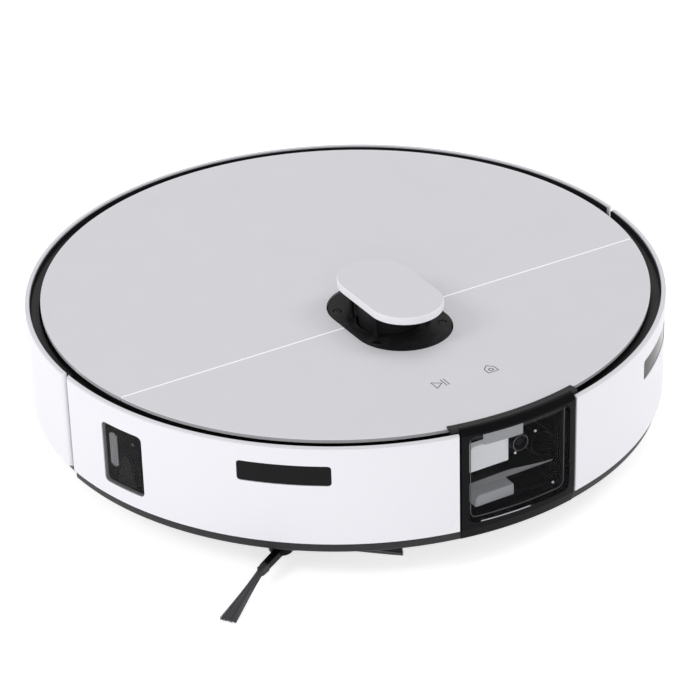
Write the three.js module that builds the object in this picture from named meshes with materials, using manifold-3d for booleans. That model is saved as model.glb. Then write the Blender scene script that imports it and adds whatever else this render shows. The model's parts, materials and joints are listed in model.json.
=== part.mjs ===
// Round robot vacuum with a laser turret, a sprung bumper, a hinged lid and side and main brushes.
// Millimetres. +Z is up, the floor is z = 0, the robot drives towards -Y and its left side is +X.
// A bearing is an angle in degrees from straight ahead, growing towards the robot's left.
import * as THREE from 'three';
import { mergeVertices } from 'three/addons/utils/BufferGeometryUtils.js';
import Module from 'manifold-3d';

const wasm = await Module();
wasm.setup();

// ---- Driving dimensions ------------------------------------------------------------------------

const GAP = 0.3; // between pieces that seat on each other
const ARC_STEP = 7.5; // degrees between the corners of a large arc

// Body
const BODY_R = 175; // outside of the white side
const BODY_TOP = 78; // deck height above the floor
const SIDE_WALL = 2.6;
const SIDE_BOTTOM = 21.2;
const LIP_BOTTOM = 15.2;
const GROOVE = 6; // black groove between the side and the deck
const DECK_T = 2;
const SEAM_Y = -44.5;
const SEAM_GAP = 0.8;

// Chassis
const BASE_Z = 10; // underside of the base
const BASE_T = 3;
const BASE_FLAT = 15; // width of the sloping edge
const BASE_EDGE = 10; // from the body's outside to the base's edge
const EXHAUST_Z = [32, 52]; // slots in the rear side
const INNER_DECK_DROP = 6; // deck top to inner deck top
const INNER_DECK_T = 2.2;
const FRAME_WALL = 3.5;
const FLANGE_W = 8;
const FLANGE_T = 3.2;

// Bumper
const BUMPER_TRAVEL = 2.5;
const BUMPER_END = 86.9; // bearing of its ends
const REAR_START = 87.9; // bearing where the rear side starts
const SKIN_T = 1.5;
const LIP_INSET = 1.9;
const MODULE_END = 11.4; // bearing of the front module's ends
const PANEL_START = 11.7;
const WINDOW_END = 9.9;
const WINDOW_Z = [25, BODY_TOP - 10];
const WINDOW_T = 2;
const VISOR_RISE = 2;
const VISOR_END = 12.9;
const VISOR_LAP = 1; // over the deck's edge
const IR_BEARING = [33.1, 49];
const IR_Z = [BODY_TOP - 21.7, BODY_TOP - 10.7];
const WALL_SENSOR_BEARING = [67.3, 76.5];
const WALL_SENSOR_Z = [30, BODY_TOP - 12.5];

// Lid hinge
const HINGE_Y = BODY_R - 17;
const HINGE_Z = BODY_TOP - 5.5;
const HINGE_PIN_R = 1.2;
const HINGE_TAB_R = 2.9;
const HINGE_TAB_X = [34, 38.5];
const HINGE_EAR_W = 4;
const HINGE_PIN_PLAY = 0.35;
const HINGE_POCKET_X = 52;
const HINGE_POCKET_Z = BODY_TOP - 16;
const HINGE_SHELF = 6; // reach of the ears' feet behind the hinge

// Laser turret
const TURRET_Y = -46.7;
const TURRET_R = 26.5;
const TURRET_HALF = 13.3; // half the distance between the stadium's end centres
const TURRET_SINK = 0.4; // below the deck
const TURRET_T = 3.1;
const TURRET_LINE = 0.6; // dark outline round the plate
const CAP_R = 20.5;
const CAP_HALF = 15.3;
const CAP_T = 4.5;
const CAP_TOP = BODY_TOP + 17.5;
const CAP_SHIFT = -0.9;
const CAP_EDGE = 1.6;
const POST_R = 1.6;
const TURRET_SCREW_D = 20.5;
const SCREW_HEAD_R = 2.2;
const SCREW_SHANK_R = 1.2;
const HEAD_R = 17;
const POST_X = 0.783 * HEAD_R + 2.69;
const POST_DY = 0.622 * HEAD_R + 2.126;
const HEAD_PLAY = 1.2;
const HEAD_BOTTOM = BODY_TOP - 17;
const PULLEY_H = 5.5;
const PULLEY_GROOVE = 2; // depth
const BELT_W = 1.7;
const SPINDLE_R = 4;
const LIDAR_MOTOR_DY = -36.3; // from the turret's axis
const LIDAR_MOTOR_R = 8;
const MOTOR_PULLEY_R = 5.5;
const BRACKET_T = 2.5;

// Front optics
const OPTICS_X = 30;
const OPTICS_Y = [11 - BODY_R, 25 - BODY_R];
const OPTICS_Z = [WINDOW_Z[0] + 1, WINDOW_Z[1]];
const OPTICS_WALL = 2.5;
const OPTICS_H = OPTICS_Z[1] - OPTICS_Z[0];
const LENS_Z = OPTICS_Z[0] + OPTICS_H * 0.62;
const SHELF_Z = [OPTICS_Z[0] + OPTICS_H * 0.367, OPTICS_Z[0] + OPTICS_H * 0.42];
const FILL_LIGHT_Z = [OPTICS_Z[0] + OPTICS_H * 0.452, OPTICS_Z[0] + OPTICS_H * 0.857];
const LINE_LASER_Z = [OPTICS_Z[0] + OPTICS_H * 0.095, OPTICS_Z[0] + OPTICS_H * 0.345];
const BARREL_R = LENS_Z - SHELF_Z[1] - 0.4;
const LENS_R = 0.625 * BARREL_R;

// Drive wheels
const WHEEL_X = BODY_R - 59;
const WHEEL_R = BODY_TOP / 2 - 6;
const WHEEL_W = 18;
const WHEEL_SIDES = 24;
const TYRE_T = 5;
const AXLE_R = 3;
const ARM_PIVOT = [48, WHEEL_R + 12]; // y and z
const ARM_X = [WHEEL_X - 28, WHEEL_X - 11]; // inner and outer face
const ARM_HUB_R = 15;
const ARM_PIVOT_R = 8;
const PIVOT_R = 2;
const WELL_X = [WHEEL_X - 30, WHEEL_X + WHEEL_W / 2 + 3.5];
const WELL_Y = [-WHEEL_R - 4, ARM_PIVOT[0] - 5];
const SUSPENSION_COIL_R = 5;
const SUSPENSION_WIRE_R = 0.8;
const SUSPENSION_TURNS = 5;
const PIVOT_EAR_T = 3.7;
const PIVOT_EAR_PLAY = 1.3; // to the arm's faces

// Caster
const CASTER_Y = 53 - BODY_R;
const CASTER_R = 20;
const CASTER_PLAY = 1;
const CASTER_WALL = 3;
const CASTER_WHEEL_R = BODY_TOP / 6;
const CASTER_WHEEL_W = 13;
const CASTER_TRAIL = 19 - CASTER_WHEEL_R;
const CASTER_PIN_R = 1.5;
const CASTER_TOP = 2 * CASTER_WHEEL_R + 6;
const STEM_R = 4;

// Main brush
const BRUSH_Y = 30;
const BRUSH_R = 21;
const BRUSH_Z = BRUSH_R + 1.5;
const BRUSH_HALF = WELL_X[0] - 9.5;
const BRUSH_CORE_R = 12;
const BRUSH_SHAFT_R = 3.5;
const CHAMBER_PLAY = 3.5;
const CHAMBER_WALL = 2.5;
const CHAMBER_HALF = BRUSH_HALF + 5.5;
const GUARD_T = 2.7;
const SPOUT_X = [30.5 - BRUSH_HALF, BRUSH_HALF - 36.5];
const SPOUT_Z = [22, 44];

// Side brush
const SIDE_BRUSH_R = BODY_R - 16.68; // from the body's axis to the side brush's
const SIDE_BRUSH = [-0.68595 * SIDE_BRUSH_R, -0.72764 * SIDE_BRUSH_R];
const SIDE_BRUSH_REACH = 63;
const SIDE_BRUSH_TURN = -146.2; // direction of the first arm from +X
const SIDE_HUB_R = 10;
const SIDE_HUB_Z = [4, 9.6];
const SIDE_ARM_END = 22;
const SIDE_SHAFT_R = 3;

// Dust bin, fan, battery and board
const BIN_X = [0.5 - BRUSH_HALF, BRUSH_HALF - 32.5];
const BIN_Y = [BRUSH_Y + BRUSH_R + 9, BODY_R - 25];
const BIN_Z = [16, BODY_TOP - 16];
const BIN_WALL = 2.2;
const BIN_EDGE_R = BODY_R - 20;
const BIN_COVER_T = 2.5;
const FILTER_Y = [BIN_Y[0] + 20, BIN_Y[1] - 18];
const FAN_R = (BODY_R - 1) / 6;
const FAN_PLAY = 2.244; // to the frame's flange
const FAN_Z = [16, 46];
const IMPELLER_R = FAN_R - 7;
const BATTERY_X = 38;
const BATTERY_Y = [CASTER_Y + CASTER_R + 6, BRUSH_Y - BRUSH_R - 41];
const BATTERY_Z = [14, CASTER_TOP + 5];
const BOARD_X = 70;
const BOARD_Y = [TURRET_Y + LIDAR_MOTOR_DY - 27, -45];
const BOARD_Z = CASTER_TOP + 11;
const BOARD_T = 1.6;
const CONTACT_AT = [38, 47 - BODY_R];
const CONTACT_SIZE = [18, 8, 0.9];

// ---- Values that follow ------------------------------------------------------------------------

const SIDE_IN = BODY_R - SIDE_WALL;
const DECK_R = SIDE_IN - GROOVE;
const DECK_Z = BODY_TOP - DECK_T;
const BASE_R = BODY_R - BASE_EDGE;
const RIM_TOP = LIP_BOTTOM + BASE_T;
const SKIN_R = SIDE_IN - GAP; // outside of the pieces that back the white side
const FRAME_R = SKIN_R - SKIN_T - BUMPER_TRAVEL - 2 * GAP; // frame behind the moving bumper
const INNER_TOP = BODY_TOP - INNER_DECK_DROP;
const INNER_Z = INNER_TOP - INNER_DECK_T;
const FLANGE_Z = INNER_Z - GAP - FLANGE_T;
const FLANGE_R = FRAME_R - FRAME_WALL - FLANGE_W + 0.5;
const GROOVE_FLOOR = INNER_TOP + 1; // top of the bumper's flange and of the rear frame
const TURRET_TOP = BODY_TOP - TURRET_SINK;
const CAP_BOTTOM = CAP_TOP - CAP_T;
const CAP_Y = TURRET_Y + CAP_SHIFT;
const LIDAR_MOTOR_Y = TURRET_Y + LIDAR_MOTOR_DY;
const BRACKET_TOP = HEAD_BOTTOM - 2.7;
const RIM_R = WHEEL_R - TYRE_T - GAP;
const CHAMBER_R = BRUSH_R + CHAMBER_PLAY;
const FAN_Y = BRUSH_Y + CHAMBER_R + CHAMBER_WALL + FAN_R + 6;
const FAN_AT = [Math.sqrt((FLANGE_R - FAN_PLAY - FAN_R) ** 2 - FAN_Y ** 2), FAN_Y];
const LIDAR_MOTOR_H = BRACKET_TOP - BRACKET_T - GAP - BATTERY_Z[1] - 5;
const RIB_R = DECK_R - 16; // inside of the stiffening ribs under the deck and the lid
const RIB_END = THREE.MathUtils.radToDeg(Math.acos((7 - SEAM_Y) / RIB_R));
const BRUSH_END_R = Math.min(9, BRUSH_Z - BASE_Z - BASE_T - GAP); // gearbox round the roller's end
const EAR_X = [HINGE_TAB_X[1] + 1, HINGE_TAB_X[1] + 1 + HINGE_EAR_W];

// ---- Shapes ------------------------------------------------------------------------------------

const rad = THREE.MathUtils.degToRad;

function at(r, bearing) {
  return new THREE.Vector2(r * Math.sin(rad(bearing)), -r * Math.cos(rad(bearing)));
}

// Bearings from one to the other, with corners on the common grid so that nested walls keep their gap.
function bearings(from, to) {
  const list = [from];
  for (let b = Math.ceil(from / ARC_STEP) * ARC_STEP; b < to; b += ARC_STEP) {
    if (b > from) list.push(b);
  }
  list.push(to);
  return list;
}

function circle(r, x = 0, y = 0, sides = 360 / ARC_STEP) {
  const points = [];
  for (let i = 0; i < sides; i++) {
    const p = at(r, (360 * i) / sides);
    points.push(new THREE.Vector2(p.x + x, p.y + y));
  }
  return points;
}

// Outline round two circles, given as [x, y, r]; it is their convex hull.
function hull(a, b, sides = 12) {
  const along = Math.atan2(b[1] - a[1], b[0] - a[0]);
  const distance = Math.hypot(b[0] - a[0], b[1] - a[1]);
  const lean = Math.acos((a[2] - b[2]) / distance);
  const points = [];
  for (let i = 0; i <= sides; i++) {
    const t = along + lean + ((2 * Math.PI - 2 * lean) * i) / sides;
    points.push(new THREE.Vector2(a[0] + a[2] * Math.cos(t), a[1] + a[2] * Math.sin(t)));
  }
  for (let i = 0; i <= sides; i++) {
    const t = along - lean + (2 * lean * i) / sides;
    points.push(new THREE.Vector2(b[0] + b[2] * Math.cos(t), b[1] + b[2] * Math.sin(t)));
  }
  return points;
}

function stadium(r, half, y, sides = 14) {
  return hull([0, y - half, r], [0, y + half, r], sides);
}

function prism(points, z0, z1, holes = []) {
  const shape = new THREE.Shape(points);
  for (const hole of holes) shape.holes.push(new THREE.Path(hole));
  const geometry = new THREE.ExtrudeGeometry(shape, { depth: z1 - z0, bevelEnabled: false });
  return geometry.translate(0, 0, z0);
}

// The same outline in y and z, extruded along X.
function prismX(points, x0, x1) {
  const turn = new THREE.Matrix4().makeBasis(
    new THREE.Vector3(0, 1, 0),
    new THREE.Vector3(0, 0, 1),
    new THREE.Vector3(1, 0, 0),
  );
  return prism(points, x0, x1).applyMatrix4(turn);
}

function sector(rIn, rOut, from, to, z0, z1) {
  const grid = bearings(from, to);
  const outside = grid.map((b) => at(rOut, b));
  const inside = grid.map((b) => at(rIn, b)).reverse();
  return prism(outside.concat(inside), z0, z1);
}

function ring(rIn, rOut, z0, z1) {
  return prism(circle(rOut), z0, z1, [circle(rIn)]);
}

function box(x, y, z) {
  const geometry = new THREE.BoxGeometry(x[1] - x[0], y[1] - y[0], z[1] - z[0]);
  return geometry.translate((x[0] + x[1]) / 2, (y[0] + y[1]) / 2, (z[0] + z[1]) / 2);
}

function drum(x, y, r, z0, z1, sides = 24) {
  return prism(circle(r, x, y, sides), z0, z1);
}

function drumX(x0, x1, y, z, r, sides = 24) {
  return prismX(circle(r, y, z, sides), x0, x1);
}

function drumY(y0, y1, x, z, r, sides = 24) {
  return drum(0, 0, r, -y1, -y0, sides).rotateX(Math.PI / 2).translate(x, 0, z);
}

// Profile of [radius, height] points turned about Z.
function lathe(profile, sides = 360 / ARC_STEP) {
  const points = profile.map(([r, z]) => new THREE.Vector2(r, z));
  return new THREE.LatheGeometry(points, sides).rotateX(Math.PI / 2);
}

// ---- Joining and cutting -----------------------------------------------------------------------

function signedVolume(position, index) {
  const [a, b, c] = [new THREE.Vector3(), new THREE.Vector3(), new THREE.Vector3()];
  let volume = 0;
  for (let i = 0; i < index.length; i += 3) {
    a.fromBufferAttribute(position, index[i]);
    b.fromBufferAttribute(position, index[i + 1]);
    c.fromBufferAttribute(position, index[i + 2]);
    volume += a.dot(b.cross(c)) / 6;
  }
  return volume;
}

function solid(geometry) {
  const bare = geometry.clone();
  bare.deleteAttribute('normal');
  bare.deleteAttribute('uv');
  const merged = mergeVertices(bare, 1e-4);
  const faces = [];
  const all = merged.index.array;
  for (let i = 0; i < all.length; i += 3) {
    const [a, b, c] = [all[i], all[i + 1], all[i + 2]];
    if (a !== b && b !== c && c !== a) faces.push(a, b, c);
  }
  if (signedVolume(merged.attributes.position, faces) < 0) faces.reverse();
  return new wasm.Manifold(new wasm.Mesh({
    numProp: 3,
    vertProperties: new Float32Array(merged.attributes.position.array),
    triVerts: new Uint32Array(faces),
  }));
}

// Joins the first list of shapes and cuts the second list away.
function carve(added, removed = []) {
  let body = solid(added[0]);
  for (const shape of added.slice(1)) body = body.add(solid(shape));
  for (const shape of removed) body = body.subtract(solid(shape));
  return body;
}

function geometryOf(body) {
  const mesh = body.getMesh();
  const geometry = new THREE.BufferGeometry();
  geometry.setAttribute('position', new THREE.BufferAttribute(mesh.vertProperties, 3));
  geometry.setIndex(new THREE.BufferAttribute(mesh.triVerts, 1));
  const flat = geometry.toNonIndexed();
  flat.computeVertexNormals();
  return flat;
}

function part(name, body, material) {
  const mesh = new THREE.Mesh(geometryOf(body), material.clone());
  mesh.name = name;
  return mesh;
}

function placed(x, y, z, ...children) {
  const group = new THREE.Group();
  group.position.set(x, y, z);
  group.add(...children);
  return group;
}

// ---- Materials ---------------------------------------------------------------------------------

function finish(color, roughness, metalness = 0) {
  return new THREE.MeshStandardMaterial({ color, roughness, metalness });
}

const WHITE_SHELL = finish(0xe9e9ec, 0.28);
const GREY_DECK = finish(0xd0cfd4, 0.42);
const BLACK_PLASTIC = finish(0x1b1c1f, 0.5);
const BLACK_GLOSS = finish(0x0c0d10, 0.12);
const DARK_PLASTIC = finish(0x2c2d31, 0.6);
const GREY_PLASTIC = finish(0x8b8d92, 0.5);
const PALE_PLASTIC = finish(0xc9cbd0, 0.35);
const CLEAR_GREY = finish(0x4a4d55, 0.2);
const RUBBER = finish(0x232426, 0.8);
const BRISTLE = finish(0x55575c, 0.7);
const STEEL = finish(0xb4b6ba, 0.35, 1);
const GOLD_CONTACT = finish(0xc2a46a, 0.3, 1);
const BOARD_GREEN = finish(0x1f5a3a, 0.55);
const BATTERY_BLUE = finish(0x27456e, 0.5);

// ---- Chassis -----------------------------------------------------------------------------------

function pivotEar(x0, x1) {
  const [y, z] = ARM_PIVOT;
  return box([x0, x1], [y - 5, y + 5], [BASE_Z + 1, z + 6]);
}

function chassisBase() {
  const flatR = BASE_R - BASE_FLAT;
  const floor = BASE_Z + BASE_T;
  const dish = lathe([
    [0, BASE_Z], [flatR, BASE_Z], [BASE_R, LIP_BOTTOM],
    [BASE_R, RIM_TOP], [flatR - 0.5, floor], [0, floor],
  ]);
  const socketR = CASTER_R + CASTER_PLAY;
  const added = [
    dish,
    drum(0, CASTER_Y, socketR + CASTER_WALL, BASE_Z, CASTER_TOP + CASTER_PLAY + CASTER_WALL, 36),
  ];
  const removed = [
    drum(0, CASTER_Y, socketR, BASE_Z - 1, CASTER_TOP + CASTER_PLAY, 36),
    drum(0, CASTER_Y, STEM_R + GAP, CASTER_TOP, CASTER_TOP + 10, 16),
    box([-CHAMBER_HALF + CHAMBER_WALL, CHAMBER_HALF - CHAMBER_WALL],
      [BRUSH_Y - CHAMBER_R, BRUSH_Y + CHAMBER_R], [BASE_Z - 1, floor + 1]),
    drum(...SIDE_BRUSH, SIDE_SHAFT_R + GAP, BASE_Z - 1, RIM_TOP + 2, 16),
  ];
  for (const side of [-1, 1]) {
    const across = (x) => x.map((v) => v * side).sort((a, b) => a - b);
    removed.push(box(across(WELL_X), WELL_Y, [BASE_Z - 1, floor + 1]));
    removed.push(drum(side * CONTACT_AT[0], CONTACT_AT[1], 1.5 + GAP, BASE_Z - 1, floor + 1, 12));
    const earIn = ARM_X[0] - PIVOT_EAR_PLAY;
    const earOut = ARM_X[1] + PIVOT_EAR_PLAY;
    added.push(pivotEar(...across([earIn - PIVOT_EAR_T, earIn])));
    added.push(pivotEar(...across([earOut, earOut + PIVOT_EAR_T])));
    removed.push(drumX(...across([ARM_X[0] - 8, ARM_X[1] + 7]), ...ARM_PIVOT, PIVOT_R + GAP + 0.1, 16));
  }
  const boss = solid(drum(...SIDE_BRUSH, SIDE_HUB_R + 2, BASE_Z, RIM_TOP - 1.5, 24));
  const trimmed = boss.intersect(solid(prism(circle(BASE_R), 0, BODY_TOP)));
  const hole = solid(drum(...SIDE_BRUSH, SIDE_SHAFT_R + GAP, BASE_Z - 1, RIM_TOP + 2, 16));
  return part('chassis_base', carve(added, removed).add(trimmed).subtract(hole), DARK_PLASTIC);
}

function hingeEar(x0, x1) {
  const r = HINGE_TAB_R;
  return [
    box([x0, x1], [HINGE_Y - r, HINGE_Y + r], [HINGE_POCKET_Z - 3, HINGE_Z]),
    drumX(x0, x1, HINGE_Y, HINGE_Z, r, 16),
    box([x0, x1], [HINGE_Y - r, HINGE_Y + HINGE_SHELF], [HINGE_POCKET_Z - 3, HINGE_POCKET_Z]),
  ];
}

function midFrame() {
  const inner = FRAME_R - FRAME_WALL;
  const rearIn = SKIN_R - 5;
  const start = REAR_START + 0.7;
  const seat = RIM_TOP + GAP;
  const added = [
    sector(inner, FRAME_R, -start - 2, start + 2, seat, GROOVE_FLOOR - 2.2),
    ring(inner - 2.5, FRAME_R, seat, seat + 2.5),
    sector(rearIn, SKIN_R, start, 360 - start, seat, GROOVE_FLOOR + 0.5),
    sector(BASE_R + 1, SKIN_R - 0.5, start, 360 - start, LIP_BOTTOM + 0.4, SIDE_BOTTOM - GAP),
    ring(FLANGE_R, inner + 1, FLANGE_Z, FLANGE_Z + FLANGE_T),
    sector(inner, rearIn + 1, start + 1, 359 - start, FLANGE_Z, FLANGE_Z + FLANGE_T),
  ];
  let frame = carve(added, [
    box([-OPTICS_X - 2, OPTICS_X + 2], [-BODY_R, OPTICS_Y[1] + 4], [SIDE_BOTTOM + 0.5, BODY_TOP]),
    drum(...SIDE_BRUSH, SIDE_SHAFT_R + 2, RIM_TOP - 1, RIM_TOP + 6, 16),
  ]);
  const pocket = solid(box([-HINGE_POCKET_X, HINGE_POCKET_X], [140, BODY_R], [HINGE_POCKET_Z, BODY_TOP]));
  frame = frame.subtract(pocket.intersect(solid(prism(circle(SKIN_R - 2.1), 0, BODY_TOP))));
  for (const x of [EAR_X, [-EAR_X[1], -EAR_X[0]]]) {
    for (const piece of hingeEar(...x)) frame = frame.add(solid(piece));
    const hole = drumX(x[0] - 1, x[1] + 1, HINGE_Y, HINGE_Z, HINGE_PIN_R + HINGE_PIN_PLAY, 12);
    frame = frame.subtract(solid(hole));
  }
  return part('mid_frame', frame, BLACK_PLASTIC);
}

function innerDeck() {
  const plate = prism(circle(FRAME_R - FRAME_WALL - 1.5), INNER_Z, INNER_TOP);
  const through = [INNER_Z - 1, INNER_TOP + 1];
  const deck = carve([plate], [
    drum(0, TURRET_Y, HEAD_R + HEAD_PLAY + 0.2, ...through, 24),
    box([-HINGE_POCKET_X, HINGE_POCKET_X], [BIN_Y[1] - 4, BODY_R], through),
    box([-OPTICS_X - 2, OPTICS_X + 2], [-BODY_R, OPTICS_Y[1] + 4], through),
  ]);
  return part('inner_deck', deck.subtract(binOutline(1.2, ...through)), BLACK_PLASTIC);
}

// ---- Outer shell -------------------------------------------------------------------------------

function rearSideShell() {
  const slots = [];
  for (let i = 0; i < 9; i++) {
    const b = 128 + i * 2.4;
    slots.push(sector(SIDE_IN - 2, BODY_R + 2, b, b + 1.1, ...EXHAUST_Z));
  }
  const shell = sector(SIDE_IN, BODY_R, REAR_START, 360 - REAR_START, SIDE_BOTTOM, BODY_TOP);
  return part('rear_side_shell', carve([shell], slots), WHITE_SHELL);
}

function turretNotch() {
  return prism(stadium(TURRET_R + TURRET_LINE, TURRET_HALF, TURRET_Y, 12), INNER_TOP, BODY_TOP + 1);
}

function halfDeck(y0, y1) {
  const disc = solid(prism(circle(DECK_R), DECK_Z, BODY_TOP));
  const half = solid(box([-BODY_R, BODY_R], [y0, y1], [DECK_Z - 1, BODY_TOP + 1]));
  return disc.intersect(half).subtract(solid(turretNotch()));
}

function deckFront() {
  const rib = sector(RIB_R, RIB_R + 3, -RIB_END, RIB_END, INNER_TOP + GAP, DECK_Z + 0.5);
  return part('deck_front', halfDeck(-BODY_R, SEAM_Y - SEAM_GAP / 2).add(solid(rib)), GREY_DECK);
}

function lid() {
  const rib = sector(RIB_R, RIB_R + 3, 100, 260, INNER_TOP + GAP, DECK_Z + 0.5);
  let body = halfDeck(SEAM_Y + SEAM_GAP / 2, BODY_R).add(solid(rib));
  for (const side of [-1, 1]) {
    const span = (a, b) => [side * a, side * b].sort((p, q) => p - q);
    const [x0, x1] = span(...HINGE_TAB_X);
    body = body.add(solid(box([x0, x1], [HINGE_Y - HINGE_TAB_R, HINGE_Y + HINGE_TAB_R],
      [HINGE_Z, DECK_Z + 0.5])));
    body = body.add(solid(drumX(x0, x1, HINGE_Y, HINGE_Z, HINGE_TAB_R, 16)));
    const pin = span(HINGE_TAB_X[1] - 1, EAR_X[1] - 0.5);
    body = body.add(solid(drumX(...pin, HINGE_Y, HINGE_Z, HINGE_PIN_R, 12)));
  }
  return part('lid', body, GREY_DECK);
}

// ---- Bumper ------------------------------------------------------------------------------------

function windowHole(from, to, z, margin) {
  const play = (margin / BODY_R) * (180 / Math.PI);
  return sector(SIDE_IN - 3, BODY_R + 3, from - play, to + play, z[0] - margin, z[1] + margin);
}

function bumperPanel(side) {
  const span = side > 0 ? [PANEL_START, BUMPER_END] : [-BUMPER_END, -PANEL_START];
  const ir = side > 0 ? IR_BEARING : [-IR_BEARING[1], -IR_BEARING[0]];
  const removed = [windowHole(...ir, IR_Z, GAP)];
  if (side < 0) {
    const [from, to] = WALL_SENSOR_BEARING;
    removed.push(windowHole(-to, -from, WALL_SENSOR_Z, GAP));
  }
  const panel = sector(SIDE_IN, BODY_R, ...span, SIDE_BOTTOM, BODY_TOP);
  return part(side > 0 ? 'bumper_panel_left' : 'bumper_panel_right', carve([panel], removed), WHITE_SHELL);
}

function sensorWindow(name, from, to, z) {
  return part(name, carve([sector(SIDE_IN, BODY_R - 0.2, from, to, ...z)]), BLACK_GLOSS);
}

function bumperCarrier() {
  const skinIn = SKIN_R - SKIN_T;
  const lipOut = BODY_R - LIP_INSET;
  const flange = [GROOVE_FLOOR - 1.5, GROOVE_FLOOR];
  const top = BODY_TOP + VISOR_RISE;
  const added = [
    sector(skinIn, SKIN_R, -BUMPER_END, BUMPER_END, LIP_BOTTOM, flange[1]),
    sector(skinIn + 0.5, lipOut, -BUMPER_END, BUMPER_END, LIP_BOTTOM, SIDE_BOTTOM - GAP),
    sector(DECK_R - 0.4, SKIN_R, -BUMPER_END, BUMPER_END, ...flange),
    sector(skinIn, BODY_R, -MODULE_END, MODULE_END, LIP_BOTTOM, top),
    sector(DECK_R - VISOR_LAP, SKIN_R, -VISOR_END, VISOR_END, BODY_TOP + GAP, top),
    sector(skinIn, SKIN_R, -VISOR_END, VISOR_END, flange[0], top),
  ];
  const play = 0.2;
  const margin = WINDOW_END + play;
  const removed = [
    sector(skinIn - 3, BODY_R + 3, -margin, margin, WINDOW_Z[0] - GAP, WINDOW_Z[1] + GAP),
  ];
  return part('bumper_carrier', carve(added, removed), BLACK_PLASTIC);
}

function frontWindow() {
  const pane = sector(BODY_R - WINDOW_T, BODY_R, -WINDOW_END, WINDOW_END, ...WINDOW_Z);
  return part('front_window', carve([pane]), BLACK_GLOSS);
}

// ---- Front optics ------------------------------------------------------------------------------

function opticsHousing() {
  const [y0, y1] = OPTICS_Y;
  const [z0, z1] = OPTICS_Z;
  const w = OPTICS_WALL;
  const shell = carve([box([-OPTICS_X, OPTICS_X], OPTICS_Y, OPTICS_Z)], [
    box([-OPTICS_X + w, OPTICS_X - w], [y0 - 1, y1 - w], [z0 + w, z1 - w]),
  ]);
  const shelf = box([-OPTICS_X + w - 1, OPTICS_X - w + 1], [y0, y1 - w + 1], SHELF_Z);
  return part('optics_housing', shell.add(solid(shelf)), GREY_PLASTIC);
}

function cameraBarrel() {
  const front = OPTICS_Y[0] + 1;
  const back = OPTICS_Y[1] - OPTICS_WALL - GAP;
  const barrel = carve([drumY(front, back, 0, LENS_Z, BARREL_R)], [
    drumY(front - 1, front + 2, 0, LENS_Z, LENS_R + 0.5),
  ]);
  return part('camera_barrel', barrel, BLACK_PLASTIC);
}

function cameraLens() {
  const dome = lathe([[0, 0], [LENS_R, 0], [LENS_R, 1], [LENS_R * 0.75, 2], [LENS_R * 0.4, 2.5], [0, 2.6]], 24);
  const body = carve([dome.rotateX(Math.PI / 2)]);
  const mesh = part('camera_lens', body, BLACK_GLOSS);
  mesh.position.set(0, OPTICS_Y[0] + 3 - GAP, LENS_Z);
  return mesh;
}

function fillLight() {
  const back = OPTICS_Y[1] - OPTICS_WALL - GAP;
  const plate = box([-26, -BARREL_R - 0.7], [OPTICS_Y[0] + 1.5, back], FILL_LIGHT_Z);
  return part('fill_light_diffuser', carve([plate]), PALE_PLASTIC);
}

function lineLaser() {
  const back = OPTICS_Y[1] - OPTICS_WALL - GAP;
  const plate = box([-25, -6], [OPTICS_Y[0] + 2, back], LINE_LASER_Z);
  return part('line_laser_block', carve([plate]), PALE_PLASTIC);
}

// ---- Laser turret ------------------------------------------------------------------------------

function turretScrewPlaces() {
  const d = TURRET_SCREW_D;
  return [[-d, -d], [d, -d], [d, d], [-d, d]].map(([x, y]) => [x, TURRET_Y + y]);
}

function turretBase() {
  const bottom = TURRET_TOP - TURRET_T;
  const added = [prism(stadium(TURRET_R, TURRET_HALF, TURRET_Y, 12), bottom, TURRET_TOP)];
  const removed = [drum(0, TURRET_Y, HEAD_R + HEAD_PLAY, bottom - 1, TURRET_TOP + 1, 24)];
  for (const [x, y] of turretScrewPlaces()) {
    added.push(drum(x, y, SCREW_HEAD_R + 0.6, INNER_TOP + GAP, bottom + 0.5, 12));
    removed.push(drum(x, y, SCREW_SHANK_R + GAP, INNER_TOP - 1, TURRET_TOP + 1, 12));
    removed.push(drum(x, y, SCREW_HEAD_R + GAP, TURRET_TOP - 1.5, TURRET_TOP + 1, 12));
  }
  return part('turret_base', carve(added, removed), BLACK_PLASTIC);
}

function turretScrew(x, y, number) {
  const seat = TURRET_TOP - 1.5 + GAP;
  const profile = [
    [0, INNER_TOP + 0.5], [SCREW_SHANK_R, INNER_TOP + 0.5], [SCREW_SHANK_R, seat],
    [SCREW_HEAD_R, seat], [SCREW_HEAD_R, TURRET_TOP - 0.2], [0, TURRET_TOP - 0.1],
  ];
  const mesh = part(`turret_screw_${number}`, carve([lathe(profile, 12)]), STEEL);
  mesh.position.set(x, y, 0);
  return mesh;
}

function turretCap() {
  const layers = [];
  const steps = 3;
  for (let i = 0; i <= steps; i++) {
    const t = (i / steps) * (Math.PI / 2);
    const inset = CAP_EDGE * (1 - Math.cos(t));
    const top = CAP_TOP - CAP_EDGE + CAP_EDGE * Math.sin(t);
    if (i > 0) layers.push(prism(stadium(CAP_R - inset, CAP_HALF, CAP_Y, 10), CAP_BOTTOM, top));
  }
  layers.push(prism(stadium(CAP_R, CAP_HALF, CAP_Y, 10), CAP_BOTTOM, CAP_TOP - CAP_EDGE));
  for (const x of [-POST_X, POST_X]) {
    for (const dy of [-POST_DY, POST_DY]) {
      layers.push(drum(x, TURRET_Y + dy, POST_R, TURRET_TOP + GAP, CAP_BOTTOM + 1, 12));
    }
  }
  return part('turret_cap', carve(layers), WHITE_SHELL);
}

function pulleyProfile(r, bottom, height, grooveDepth) {
  const lower = bottom + height * 0.27;
  const upper = bottom + height * 0.73;
  return [[r, bottom], [r, lower], [r - grooveDepth, lower], [r - grooveDepth, upper], [r, upper],
    [r, bottom + height]];
}

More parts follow.
